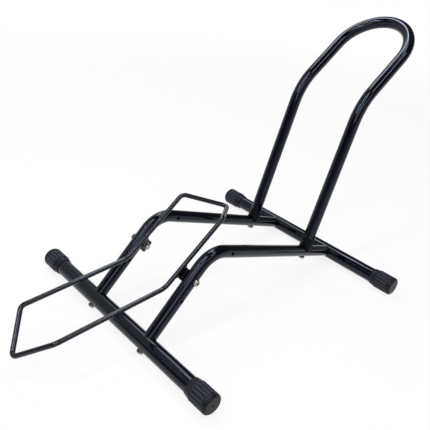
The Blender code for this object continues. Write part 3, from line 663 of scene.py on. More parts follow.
def dark_rubber():
    """Moulded rubber: dark grey with pale bloom in patches, a painted highlight along its lands'
    crests, a fine dull grain and light scuffs.
    """
    made, tree, here, facing, land_highlight = started("dark_rubber")
    bloom = grouped(tree, HANDLING, Vector=here, Patch=0.012, Cover=0.34)
    dust = grouped(tree, DUST, Vector=here, Normal=facing, Speckle=0.0011, Amount=0.04)
    scuffs = grouped(tree, SCUFFS, Vector=here, Draw=(160.0, 1100.0, 1100.0), Amount=0.45)
    colour = tinted(tree, raised(tree, 0.0, (bloom, 0.10)), RUBBER_GREY, RUBBER_BLOOM_AND_LAND_HIGHLIGHT)
    # Painted highlight: each land's crest is painted paler, standing in for the light it catches.
    colour = tinted(tree, raised(tree, 0.0, (land_highlight, 0.50)), colour, RUBBER_BLOOM_AND_LAND_HIGHLIGHT)
    colour = tinted(tree, raised(tree, 0.0, (scuffs, 0.35)), colour, DUST_GREY)
    colour = tinted(tree, dust, colour, DUST_GREY)
    roughness = raised(tree, 0.34, (bloom, 0.14), (dust, 0.20))
    height = grouped(tree, SKIN_TEXTURE, Vector=here, Dimple=0.0007, Grain_Share=0.55)
    completed(tree, colour, roughness, height, glossy(gloss=0.18), strength=0.35, distance=0.0003)
    return made


RUBBER = dark_rubber()


def end_cap(node_name, side, axis_point):
    """A turned cup with eighteen crowned lands; a land faces the floor.

    From a land's middle the radius falls as a square, and then by a smooth step into the groove.
    """
    cap_radius = axis_point[2]
    inside = [(0.0, CAP_LENGTH - CAP_END_WALL), (CAP_BORE, CAP_LENGTH - CAP_END_WALL), (CAP_BORE, 0.0)]
    flare = [(CAP_LIP_RADIUS, 0.0), (CAP_FLARE_RADIUS, CAP_FLARE_LENGTH)]
    body = [(cap_radius, CAP_FLARE_LENGTH + CAP_STEP_LENGTH), (cap_radius, CAP_LENGTH)]
    pit_floor = CAP_LENGTH - CAP_PIT_DEPTH
    pit = [(CAP_PIT_RADIUS, CAP_LENGTH), (CAP_PIT_RADIUS * CAP_PIT_TAPER, pit_floor), (0.0, pit_floor)]
    radii = [
        0.0, CAP_FINE_EDGE, CAP_FINE_EDGE, CAP_SOFT_EDGE, CAP_SOFT_EDGE, CAP_FINE_EDGE,
        CAP_EDGE_RADIUS, CAP_SOFT_EDGE, CAP_FINE_EDGE, 0.0]
    profile = filled_in(rounded(inside + flare + body + pit, radii), CAP_ROW_STEP)
    height = profile[:, 1:]
    outside = profile[:, :1] > CAP_OUTSIDE_FROM
    fluted = smooth_step(0.0, CAP_FLUTE_RUN_OUT, height - CAP_FLARE_LENGTH - CAP_STEP_LENGTH)
    fluted = fluted * smooth_step(0.0, CAP_FLUTE_RUN_OUT, CAP_FLUTE_END - height) * outside
    spacing = 2 * np.pi / CAP_FLUTES
    turn = round_turns(CAP_SIDES)
    off_land = np.abs((turn + spacing / 2) % spacing - spacing / 2) / (spacing / 2)
    groove = smooth_step(CAP_LAND_SHARE, CAP_GROOVE_SHARE, off_land)
    crown = CAP_LAND_CROWN * np.minimum(off_land / CAP_LAND_SHARE, 1.0) ** 2
    dip = crown + (CAP_FLUTE_DEPTH - CAP_LAND_CROWN) * groove
    radius = profile[:, :1] - dip * fluted
    mouth = np.array((side * (cad_box[1].x - CAP_LENGTH), axis_point[1], axis_point[2]))
    grid = turned(radius, height, mouth, side * ACROSS, (0.0, 0.0, -1.0))
    # The land mask marks each land's crest for the rubber's painted highlight.
    land = (1.0 - smooth_step(0.0, CAP_LAND_SHARE, off_land)) * fluted
    piece = skin(node_name + "_rubber", grid, RUBBER, edge=land)
    dressed(piece, node_name, "base")


for row_word, bar in (("front", FRONT_BAR), ("rear", REAR_BAR)):
    for side, word in SIDES:
        end_cap(f"end_cap_{row_word}_{word}", side, bar)


# Rails: two bent steel tubes, left and right, powder coated black. Both ends are cut to sit on the
# round crossbars, and each has three cross holes for the cradle's pivot and one for the hoop's bolt.
RAIL_RADIUS = 0.011
RAIL_STEP = 0.0030
RAIL_BEND_RADIUS = 0.050
LOW_HOLE_FROM_BAR = 0.0852
REAR_HOLE_PAST_CORNER = 0.0429
HOOP_FOOT_FROM_REAR_BAR = 0.0935
HOOP_LEG_LEAN = math.radians(17.8)

PIVOT = np.array(frame["joints"][0]["pos_m"])
BAR_SPACING = REAR_BAR[1] - FRONT_BAR[1]
RAIL_RUN = BAR_SPACING * math.sin(RAIL_REAR_ANGLE) / math.sin(RAIL_FRONT_ANGLE + RAIL_REAR_ANGLE)
RAIL_CORNER = FRONT_BAR + RAIL_RISE * RAIL_RUN
HOOP_FOOT = REAR_BAR - RAIL_FALL * HOOP_FOOT_FROM_REAR_BAR
LEG_RISE = np.array((0.0, math.sin(HOOP_LEG_LEAN), math.cos(HOOP_LEG_LEAN)))
SIDE_PLANE = np.array((0.0, 1.0, 1.0))


def bent_line(corners, radii, closed=False, straight_step=0.02):
    """Travels, centres and headings along straight runs joined by arcs."""
    line = rounded(corners, radii, arc_steps=None)
    if closed:
        line = np.concatenate((line, line[:1]))
    line = filled_in(line, straight_step)
    steps = np.diff(line, axis=0)
    lengths = np.linalg.norm(steps, axis=1)
    unit = steps / lengths[:, None]
    before = np.concatenate((unit[-1:] if closed else unit[:1], unit))
    after = np.concatenate((unit, unit[:1] if closed else unit[-1:]))
    headings = before + after
    headings /= np.linalg.norm(headings, axis=1, keepdims=True)
    travel = np.concatenate(([0.0], np.cumsum(lengths)))
    end = -1 if closed else None
    return travel[:end], line[:end], headings[:end]


def rail(node_name, side):
    """A bent tube in a side plane: rise, arc and fall, cut round at both crossbars."""
    corners = np.array((FRONT_BAR, RAIL_CORNER, REAR_BAR)) * SIDE_PLANE + side * RAIL_X * ACROSS
    known, line, lead = bent_line(corners, [0.0, RAIL_BEND_RADIUS, 0.0])

    def path(travel):
        centres, headings = [
            np.stack([np.interp(travel, known, part[:, axis]) for axis in range(3)], axis=1)
            for part in (line, lead)]
        return centres, headings / np.linalg.norm(headings, axis=1, keepdims=True)

    length = known[-1]
    cut_back = RAIL_BEND_RADIUS * (2 * math.tan((RAIL_FRONT_ANGLE + RAIL_REAR_ANGLE) / 2)
                                   - RAIL_FRONT_ANGLE - RAIL_REAR_ANGLE)
    pivot_travel = np.linalg.norm(PIVOT[1:] - FRONT_BAR[1:])
    rear_travel = RAIL_RUN + REAR_HOLE_PAST_CORNER - cut_back
    foot_travel = length - HOOP_FOOT_FROM_REAR_BAR
    cross_holes = (LOW_HOLE_FROM_BAR, pivot_travel, rear_travel)
    holes = [(middle, angle) for middle in cross_holes for angle in (0.0, np.pi)]
    holes += [(foot_travel, angle) for angle in (np.pi / 2, -np.pi / 2)]
    cope = BAR_RADIUS + SEAT_GAP
    drilled_tube(node_name, path, RAIL_RADIUS, cope, length - cope, RAIL_STEP, holes, ACROSS, cope)


for side, word in SIDES:
    rail(f"rail_{word}", side)


# Wheel hoop: one bent steel tube, powder coated black, that catches the wheel. Its legs stand on the
# rails and lean back, it kinks above and closes in an arch. The feet are cut to sit on the saddles.
HOOP_RADIUS = 0.011
HOOP_SIDES = 72
HOOP_ROW_STEP = 0.004
HOOP_TOP_LEAN = math.radians(54.4)
HOOP_LEG_LENGTH = 0.2970
HOOP_TOP_STRAIGHT = 0.1260
HOOP_CROWN_HEIGHT = 0.0820
HOOP_BEND_RADIUS = 0.108
HOOP_CROWN_STEPS = 72
SADDLE_WALL = 0.0013
SADDLE_RADIUS = RAIL_RADIUS + SEAT_GAP + SADDLE_WALL
RAIL_TOP = np.array((0.0, math.sin(RAIL_REAR_ANGLE), math.cos(RAIL_REAR_ANGLE)))
LEG_FORE = np.cross(ACROSS, LEG_RISE)


def height_over_rail(reach, offset_x, offset_fore):
    """How far up the leg's line a point meets a round of a radius about the rail.

    The leg isn't quite square to the rail, so the point's offset fore and aft counts a little.
    """
    rise = np.sqrt(np.maximum(reach ** 2 - offset_x ** 2, 0.0))
    return (rise - offset_fore * (LEG_FORE @ RAIL_TOP)) / (LEG_RISE @ RAIL_TOP)


def wheel_hoop(node_name):
    """Right leg, bend and top straight, a half ellipse over the wheel, and the same down the left."""
    cope = SADDLE_RADIUS + SEAT_GAP
    top_rise = np.array((0.0, math.sin(HOOP_TOP_LEAN), math.cos(HOOP_TOP_LEAN)))
    kink = HOOP_FOOT + LEG_RISE * HOOP_LEG_LENGTH
    shoulder = kink + top_rise * HOOP_TOP_STRAIGHT
    travel, leg, lead = bent_line(
        [HOOP_FOOT, kink, shoulder], [0.0, HOOP_BEND_RADIUS, 0.0], straight_step=HOOP_ROW_STEP)
    above_seat = travel >= cope
    travel = np.concatenate(([cope], travel[above_seat]))
    leg = np.concatenate(([HOOP_FOOT + LEG_RISE * cope], leg[above_seat]))
    lead = np.concatenate(([LEG_RISE], lead[above_seat]))
    side = RAIL_X * ACROSS
    turn = np.pi * np.arange(1, HOOP_CROWN_STEPS)[:, None] / HOOP_CROWN_STEPS
    crown = shoulder + np.cos(turn) * side + np.sin(turn) * HOOP_CROWN_HEIGHT * top_rise
    crown_lead = -np.sin(turn) * side + np.cos(turn) * HOOP_CROWN_HEIGHT * top_rise
    crown_lead /= np.linalg.norm(crown_lead, axis=1, keepdims=True)
    flat = leg * SIDE_PLANE
    centres = np.concatenate((flat + side, crown, flat[::-1] - side))
    headings = np.concatenate((lead, crown_lead, -lead[::-1]))
    legs_back = np.cross(ACROSS, lead)
    crown_back = np.repeat(np.cross(ACROSS, top_rise)[None, :], len(crown), axis=0)
    reference = np.concatenate((legs_back, crown_back, legs_back[::-1]))
    around = round_turns(HOOP_SIDES)
    cut = height_over_rail(cope, HOOP_RADIUS * np.sin(around), HOOP_RADIUS * np.cos(around)) - cope
    off_end = (travel - cope)[:, None]
    fade = np.clip(1.0 - off_end / COPE_FADE, 0.0, 1.0)
    still = np.zeros((len(crown), HOOP_SIDES))
    slide = np.concatenate((cut * fade, still, -(cut * fade)[::-1]))
    foot_rim = np.repeat(np.exp(-off_end / END_FADE), HOOP_SIDES, axis=1)
    rim = np.concatenate((foot_rim, still, foot_rim[::-1]))
    grid = swept(centres, headings, reference, HOOP_RADIUS, around, slide)
    piece = skin(node_name + "_tube", grid, POWDER_COAT, edge=rim, closed=False)
    with_wall(piece)
    dressed(piece, node_name, "base")


wheel_hoop("wheel_hoop")


# Saddles: two moulded black plastic seats between the hoop's feet and the rails. Each is a half shell
# clipped on the rail with a collar round the leg, whose top edge slopes in to the leg.
SADDLE_LENGTH = 0.0205
SADDLE_EAR_ANGLE = math.radians(13.0)
SADDLE_COLLAR_LENGTH = 0.0200
SADDLE_CONE_LENGTH = 0.0080
SADDLE_LIP_WALL = 0.0004
SADDLE_SHOULDER_EDGE = 0.0012
SADDLE_LIP_EDGE = 0.0001
SADDLE_SHELL_STEPS = 64
SADDLE_EAR_STEPS = 7
SADDLE_SECTION = 32
COLLAR_SIDES = 96
COLLAR_ROW_STEP = 0.0012
PLASTIC_BLACK = (0.0008, 0.0009, 0.0014)
PLASTIC_RUBBED = (0.008, 0.008, 0.010)


def black_plastic():
    """Moulded plastic: black, half gloss, with a faint spark-eroded grain and rubbed edges."""
    made, tree, here, facing, rim = started("black_plastic")
    rubbed = grouped(tree, HANDLING, Vector=here, Patch=0.009, Cover=0.38)
    dust = grouped(tree, DUST, Vector=here, Normal=facing, Speckle=0.0009, Amount=0.06)
    colour = tinted(tree, raised(tree, 0.0, (rim, 0.6)), PLASTIC_BLACK, PLASTIC_RUBBED)
    colour = tinted(tree, dust, colour, DUST_GREY)
    roughness = raised(tree, 0.34, (rubbed, 0.12))
    height = grouped(tree, SKIN_TEXTURE, Vector=here, Dimple=0.0005, Grain_Share=0.6)
    completed(tree, colour, roughness, height, glossy(gloss=0.20), strength=0.22, distance=0.0002)
    return made


PLASTIC = black_plastic()


def saddle_shell(foot):
    """A strip with round edges bent over the rail: a stadium section carried round the rail's axis.

    The rows are the turn from ear to ear. At each ear the section draws in to a line, as a half round.
    """
    half_wall = SADDLE_WALL / 2
    middle_radius = SADDLE_RADIUS - half_wall
    closing = np.linspace(0.0, np.pi / 2, SADDLE_EAR_STEPS)
    end_turn = SADDLE_EAR_ANGLE + half_wall * (1 - np.cos(closing)) / middle_radius
    open_turn = np.linspace(end_turn[-1], np.pi - end_turn[-1], SADDLE_SHELL_STEPS)[1:-1]
    turn = np.concatenate((end_turn, open_turn, np.pi - end_turn[::-1]))[:, None]
    thin = np.concatenate((np.sin(closing), np.ones(len(open_turn)), np.sin(closing[::-1])))[:, None]
    half_thick = half_wall * thin
    half_long = SADDLE_LENGTH / 2 - half_wall + half_thick
    around = (np.arange(SADDLE_SECTION) + 0.5)[None, :] * 2 * np.pi / SADDLE_SECTION
    lengthwise = np.sign(np.cos(around)) * (half_long - half_thick) + half_thick * np.cos(around)
    radius = middle_radius + half_thick * np.sin(around)
    out = np.cos(turn)[..., None] * ACROSS + np.sin(turn)[..., None] * RAIL_TOP
    return foot + radius[..., None] * out + lengthwise[..., None] * RAIL_FALL


def saddle_collar(foot):
    """A sleeve round the leg: outer side up, sloped shoulder, lip and bore down, closed on itself.

    Its lower edge follows the shell: the height where its wall meets a round about the rail.
    """
    bore = HOOP_RADIUS + SEAT_GAP
    outer = bore + SADDLE_WALL
    full = SADDLE_COLLAR_LENGTH
    lip = SADDLE_COLLAR_LENGTH + SADDLE_CONE_LENGTH
    corners = [(outer, 0.0), (outer, full), (bore + SADDLE_LIP_WALL, lip), (bore, lip), (bore, 0.0)]
    radii = [0.0, SADDLE_SHOULDER_EDGE, SADDLE_LIP_EDGE, SADDLE_LIP_EDGE, 0.0]
    profile = filled_in(rounded(corners, radii), COLLAR_ROW_STEP)
    around = round_turns(COLLAR_SIDES)
    radius = np.repeat(profile[:, :1], COLLAR_SIDES, axis=1)
    inner_round = SADDLE_RADIUS - SADDLE_WALL / 2
    low = height_over_rail(inner_round, radius * np.sin(around), radius * np.cos(around))
    low = np.maximum(low, SADDLE_RADIUS * math.sin(SADDLE_EAR_ANGLE))
    height = profile[:, 1:]
    stretched = np.where(height < full, low + (full - low) * height / full, height)
    return turned(radius, stretched, foot, LEG_RISE, LEG_FORE)


def fused(name, first, second):
    """Two closed skins joined into one, with nothing left inside."""
    union = first.modifiers.new("union", "BOOLEAN")
    union.operation = "UNION"
    union.solver = "EXACT"
    union.object = second
    mesh = bpy.data.meshes.new_from_object(first.evaluated_get(bpy.context.evaluated_depsgraph_get()))
    for leftover in (first, second):
        bpy.data.objects.remove(leftover, do_unlink=True)
    mesh.name = name
    mesh.shade_smooth()
    mesh.set_sharp_from_angle(angle=math.radians(40.0))
    return added(name, mesh)


def saddle(node_name, side):
    name = node_name + "_moulding"
    foot = HOOP_FOOT * SIDE_PLANE + side * RAIL_X * ACROSS
    shell = skin(name + "_shell", saddle_shell(foot), PLASTIC)
    collar = skin(name + "_collar", saddle_collar(foot), PLASTIC, along=True)
    dressed(fused(name, shell, collar), node_name, "base")


for side, word in SIDES:
    saddle(f"hoop_saddle_{word}", side)


# Cradle wire: one closed loop of 8 mm steel rod that the wheel rolls over, bent into kinked sides and
# V-shaped ends, butt welded and powder coated black.
WIRE_RADIUS = 0.004
WIRE_SIDES = 32
WIRE_ROW_STEP = 0.008
CRADLE_X = middle_of("pivot_bracket_right")[0]
CRADLE_PITCH = math.radians(38.4)
CRADLE_UPPER_SIDE = 0.1453
CRADLE_LOWER_SIDE = 0.1906
CRADLE_SIDE_KINK = math.radians(34.6)
CRADLE_FRONT_REACH = 0.0572
CRADLE_REAR_REACH = 0.0644
CRADLE_FRONT_DROP = math.radians(39.4)
CRADLE_REAR_DROP = math.radians(54.8)
CRADLE_KINK_RADIUS = 0.030
CRADLE_CORNER_RADIUS = 0.0125
CRADLE_APEX_RADIUS = 0.008
BRACKET_RISE = 0.0129
BRACKET_FROM_KINK = 0.0371
WIRE_BLACK = (0.0016, 0.0018, 0.0034)
WIRE_SHEEN = (0.82, 0.85, 1.0)
WIRE_COAT = powder_coat("wire_powder_coat", WIRE_BLACK, dullness=0.085, gloss=0.64, sheen=WIRE_SHEEN)


def pitched(points, pitch):
    """Points of a frame at the pivot, turned nose up about X by a pitch and put in their place."""
    turn = np.array((
        (1.0, 0.0, 0.0),
        (0.0, math.cos(pitch), -math.sin(pitch)),
        (0.0, math.sin(pitch), math.cos(pitch))))
    return points @ turn.T + PIVOT * SIDE_PLANE


def cradle_wire(node_name):
    """The rod's skin along a closed line: eight corners, each an arc of its own radius."""
    kink = np.array((0.0, -BRACKET_FROM_KINK, BRACKET_RISE))
    rear = kink + slope(0.0) * CRADLE_UPPER_SIDE
    front = kink - slope(-CRADLE_SIDE_KINK) * CRADLE_LOWER_SIDE
    front_apex = front - slope(CRADLE_FRONT_DROP - CRADLE_SIDE_KINK) * CRADLE_FRONT_REACH
    rear_apex = rear + slope(-CRADLE_REAR_DROP) * CRADLE_REAR_REACH
    right = CRADLE_X * ACROSS
    corners = [
        front_apex, front + right, kink + right, rear + right,
        rear_apex, rear - right, kink - right, front - right]
    radii = [CRADLE_APEX_RADIUS, CRADLE_CORNER_RADIUS, CRADLE_KINK_RADIUS, CRADLE_CORNER_RADIUS] * 2
    corners = [pitched(corner, CRADLE_PITCH) for corner in corners]
    _, centres, headings = bent_line(corners, radii, closed=True, straight_step=WIRE_ROW_STEP)
    overhead = np.array((0.0, -math.sin(CRADLE_PITCH), math.cos(CRADLE_PITCH)))
    grid = swept(centres, headings, overhead, WIRE_RADIUS, round_turns(WIRE_SIDES))
    dressed(skin(node_name + "_rod", grid, WIRE_COAT, along=True), node_name, "cradle")


cradle_wire("cradle_wire")


# Pivot brackets: two small steel plates under the wire's sides, each with a hole for the pivot bolt.
# They are fillet welded to the wire at both ends and on both faces, and coated with it.
BRACKET_LENGTH = 0.0220
BRACKET_DROP = 0.0080
BRACKET_THICKNESS = 0.0030
BRACKET_CORNER_RADIUS = 0.0030
BRACKET_EDGE_BREAK = 0.0005
BRACKET_TOP_SHARE = 0.92
BRACKET_AROUND = 128
EDGE_ROWS = 5
WELD_FROM_PIVOT = 0.0068
WELD_RADIUS = 0.0021
WELD_OFF_PLATE = 0.0006
WELD_OVER_JOINT = 0.0010
WELD_RIPPLE_PITCH = 0.0013
WELD_RIPPLE_DEPTH = 0.00045
WELD_RIPPLE_LEAN = 0.6
WELD_SIDES = 28
WELD_ROWS = 140
# Painted highlight: the beads' coat is a lighter grey than the black paint, standing in for the light
# the bumpy beads catch.
WELD_PAINTED_HIGHLIGHT = (0.075, 0.078, 0.092)
WELD_COAT = powder_coat("weld_coat_painted_highlight", WELD_PAINTED_HIGHLIGHT, dullness=0.22, gloss=1.0)


def ray_to_box(turn, half_width, low, high, corner):
    """How far a ray from the pivot goes to a box with round lower corners, for each turn."""
    across, up = np.cos(turn), np.sin(turn)
    side = half_width / np.maximum(np.abs(across), TINY)
    end = np.where(up > 0.0, high / np.maximum(up, TINY), low / np.maximum(-up, TINY))
    reach = np.minimum(side, end)
    centre = np.array((half_width - corner, -(low - corner)))
    along = np.abs(across) * centre[0] + up * centre[1]
    off = centre @ centre - along ** 2
    rounded_reach = along + np.sqrt(np.maximum(corner ** 2 - off, 0.0))
    in_corner = (np.abs(across) * reach > centre[0]) & (up * reach < centre[1])
    return np.where(in_corner, rounded_reach, reach)


def quarter(count):
    """A column of even turns from nought to a quarter."""
    return np.linspace(0.0, np.pi / 2, count)[:, None]


def rows_of(pairs, columns):
    """Rows of radii and of heights, from pairs of numbers, of columns of them or of whole rows."""
    full = np.ones((1, columns))
    spread = [np.broadcast_arrays(*np.atleast_2d(*pair), full)[:2] for pair in pairs]
    radii, heights = zip(*spread)
    return np.concatenate(radii), np.concatenate(heights)


def bracket_plate(side):
    """A plate as a ring: hole wall, one face, broken outer edge, other face, and back to the hole."""
    turn = round_turns(BRACKET_AROUND)
    high = BRACKET_RISE - WIRE_RADIUS * BRACKET_TOP_SHARE
    outline = ray_to_box(turn, BRACKET_LENGTH / 2, BRACKET_DROP, high, BRACKET_CORNER_RADIUS)
    half = BRACKET_THICKNESS / 2
    soft = BRACKET_EDGE_BREAK
    arc = quarter(EDGE_ROWS)
    radius, depth = rows_of([
        (BOLT_BORE, half),
        (outline - soft * (1 - np.sin(arc)), half - soft * (1 - np.cos(arc))),
        (outline - soft * (1 - np.cos(arc)), soft - half - soft * np.sin(arc)),
        (BOLT_BORE, -half)], BRACKET_AROUND)
    grid = np.stack((side * CRADLE_X + depth, radius * np.cos(turn), radius * np.sin(turn)), axis=-1)
    return pitched(grid, CRADLE_PITCH)


def weld_bead(side, end):
    """A bead from one face round the plate's end to the other face, under the wire.

    Its line is two straights and a half ellipse, and its radius swells and dips along it like a row of
    laid coins, with a round start and finish.
    """
    half_width = BRACKET_THICKNESS / 2 + WELD_OFF_PLATE
    straight = BRACKET_LENGTH / 2 - WELD_FROM_PIVOT
    turn = np.linspace(-np.pi / 2, np.pi / 2, WELD_ROWS // 2)
    run = np.linspace(0.0, 1.0, WELD_ROWS // 4, endpoint=False)
    x = np.concatenate((-half_width + 0.0 * run, half_width * np.sin(turn), half_width + 0.0 * run))
    round_end = straight + WELD_OFF_PLATE * np.cos(turn)
    reach = np.concatenate((straight * run, round_end, straight * run[::-1]))
    centres = np.stack((x, WELD_FROM_PIVOT + reach, 0.0 * x), axis=1)
    steps = np.linalg.norm(np.diff(centres, axis=0), axis=1)
    travel = np.concatenate(([0.0], np.cumsum(steps)))
    headings = np.gradient(centres, axis=0)
    headings /= np.maximum(np.linalg.norm(headings, axis=1, keepdims=True), TINY)
    around = round_turns(WELD_SIDES)
    from_end = np.minimum(travel, travel[-1] - travel)[:, None] / WELD_RADIUS
    swell = np.sqrt(1.0 - (1.0 - np.minimum(from_end, 1.0)) ** 2)
    lag = travel[:, None] / WELD_RIPPLE_PITCH * np.pi + WELD_RIPPLE_LEAN * np.cos(around)
    radius = (WELD_RADIUS - WELD_RIPPLE_DEPTH * (1.0 - np.abs(np.sin(lag)))) * swell
    grid = swept(centres, headings, (0.0, 0.0, 1.0), radius, around)
    place = np.array((side * CRADLE_X, 0.0, BRACKET_RISE - WIRE_RADIUS + WELD_OVER_JOINT))
    return pitched(grid * np.array((1.0, end, 1.0)) + place, CRADLE_PITCH)


def bracket(node_name, side):
    plate = skin(node_name + "_plate", bracket_plate(side), WIRE_COAT, along=True, sharp=60.0)
    dressed(plate, node_name, "cradle")
    for end, word in ((-1, "front"), (1, "rear")):
        bead = skin(f"{node_name}_weld_{word}", weld_bead(side, end), WELD_COAT)
        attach(bead, "cradle")


for side, word in SIDES:
    bracket(f"pivot_bracket_{word}", side)


# Pivot spacers: two moulded black plastic blocks between the brackets and the round rails. Each is
# cupped over the rail and has a round boss that the bracket turns against.
SPACER_LENGTH = 0.0214
SPACER_HEIGHT = 0.0170
SPACER_BOSS_RADIUS = 0.0088
SPACER_BOSS_LENGTH = 0.0028
SPACER_EAR_DEPTH = 0.0025
SPACER_CORNER_RADIUS = 0.0012
SPACER_EDGE_BREAK = 0.0004
SPACER_AROUND = 144
SPACER_CUP_ROWS = 8


def spacer_skin(side):
    """A block's skin as a ring: bolt hole, boss face and side, step, block side, then the cup.

    Round the bolt, the boss's rows are circles and the block's are rays cut by a box with round
    corners. At the rail the depth follows the rail's round, and goes no deeper than the ears.
    """
    turn = round_turns(SPACER_AROUND)
    half_long, half_high = SPACER_LENGTH / 2, SPACER_HEIGHT / 2
    across, up = np.abs(np.cos(turn)), np.abs(np.sin(turn))
    box = ray_to_box(-np.arctan2(up, across), half_long, half_high, half_high, SPACER_CORNER_RADIUS)
    boss_face = CRADLE_X + BRACKET_THICKNESS / 2 + SEAT_GAP
    block_face = boss_face + SPACER_BOSS_LENGTH
    soft = SPACER_EDGE_BREAK
    arc = quarter(EDGE_ROWS)
    shrink = np.linspace(1.0, 0.0, SPACER_CUP_ROWS + 1)[1:, None]
    cup_radius = BOLT_BORE + (box - soft - BOLT_BORE) * shrink

    def cupped(radius):
        """The depth where a point of the rail end meets the rail's round, at most the ears' depth."""
        off = radius * np.sin(turn)
        on_rail = RAIL_X - np.sqrt(np.maximum((RAIL_RADIUS + SEAT_GAP) ** 2 - off ** 2, 0.0))
        return np.minimum(on_rail, RAIL_X - RAIL_RADIUS + SPACER_EAR_DEPTH)

    radius, depth = rows_of([
        (BOLT_BORE, boss_face),
        (SPACER_BOSS_RADIUS - soft + soft * np.sin(arc), boss_face + soft * (1 - np.cos(arc))),
        (SPACER_BOSS_RADIUS, block_face),
        (box - soft + soft * np.sin(arc), block_face + soft * (1 - np.cos(arc))),
        (box - soft * (1 - np.cos(arc)), cupped(box) - soft * (1 - np.sin(arc))),
        (cup_radius, cupped(cup_radius))], SPACER_AROUND)
    grid = np.stack((side * depth, radius * np.cos(turn), radius * np.sin(turn)), axis=-1)
    return pitched(grid, RAIL_FRONT_ANGLE)


for side, word in SIDES:
    block = skin(f"pivot_spacer_{word}_block", spacer_skin(side), PLASTIC, along=True, sharp=50.0)
    dressed(block, f"pivot_spacer_{word}", "base")


# Bolts: eight 6 mm pan-head bolts with hexagon sockets, bright zinc plated: four through the
# crossbars into the rails, two up into the hoop's legs, and two that the cradle turns on.
BOLT_RADIUS = 0.0030
BOLT_HEAD_RADIUS = 0.0060
BOLT_HEAD_HEIGHT = 0.0046
BOLT_HEAD_SIDE = 0.0018
BOLT_CROWN_SHARE = 0.62
BOLT_CROWN_ROWS = 9
BOLT_EDGE_BREAK = 0.0002
BOLT_NECK_SPREAD = 0.0003
BOLT_SOCKET_WIDTH = 0.0040
BOLT_SOCKET_DEPTH = 0.0020
BOLT_SOCKET_RIM = 0.00018
BOLT_SOCKET_FOOT = 0.0001
BOLT_SOCKET_CONE = 0.0003
BOLT_TIP_CHAMFER = 0.0006
BOLT_SIDES = 72
# Painted shade on bolt heads: where on the head's side it starts, its slack, and how dark the side
# goes.
PAINTED_SHADE_FROM_SHARE = 0.85
PAINTED_SHADE_SLACK = 0.0001
HEAD_SIDE_PAINTED_SHADE = 0.7
THREAD_PITCH = 0.0010
THREAD_DEPTH = 0.00034
THREAD_LENGTH = 0.0120
THREAD_STEP = 0.000125
PLUG_LENGTH = 0.0180
PLUG_THREAD_SHOWN = 0.0020
ZINC_BRIGHT = (0.44, 0.45, 0.40)
ZINC_DULL = (0.22, 0.22, 0.19)
# Painted shade: the dark colour painted into bolt sockets and low on the heads' sides.
ZINC_PAINTED_SHADE = (0.020, 0.020, 0.018)


def bright_zinc():
    """Zinc plate: bright metal with turning marks, dull in patches, and painted shade: darker in the
    socket and low on the head's side.
    """
    made, tree, here, _, painted_shade = started("bright_zinc")
    walked = node(tree, "ShaderNodeUVMap", uv_map="walked").outputs["UV"]
    dull = grouped(tree, HANDLING, Vector=here, Patch=0.004, Cover=0.40)
    marks = grouped(tree, SCUFFS, Vector=walked, Draw=(220.0, 9000.0, 1.0), Amount=0.6)
    colour = tinted(tree, raised(tree, 0.0, (dull, 0.45)), ZINC_BRIGHT, ZINC_DULL)
    # Painted shade: darker in the socket and low on the head's side.
    colour = tinted(tree, raised(tree, 0.0, (painted_shade, 0.92)), colour, ZINC_PAINTED_SHADE)
    roughness = raised(tree, 0.10, (dull, 0.12), (marks, 0.12))
    height = grouped(tree, SKIN_TEXTURE, Vector=here, Dimple=0.0006, Grain_Share=0.4)
    height = raised(tree, height, (marks, -0.4))
    completed(tree, colour, roughness, height, {"Metallic": 1.0}, strength=0.15, distance=0.0001)
    return made


ZINC = bright_zinc()


def hexagon(turn, width):
    """The radius of a hexagon of a width across its flats, for each turn."""
    sixth = np.pi / 3
    return width / 2 / np.cos((turn % sixth) - sixth / 2)


def squared_to(axis):
    """A direction square to an axis: along X, or upwards where the axis itself is along X."""
    helper = np.array((0.0, 0.0, 1.0)) if axis[0] else ACROSS
    other = np.cross(axis, helper)
    other /= np.linalg.norm(other)
    return np.cross(other, axis)


def zinc_piece(node_name, word, radius, height, origin, axis, **marks):
    """A turned piece of zinc-plated steel that stands for a node."""
    grid = turned(radius, height, origin, axis, squared_to(axis))
    piece = skin(f"{node_name}_{word}", grid, ZINC, **marks)
    dressed(piece, node_name, "base")


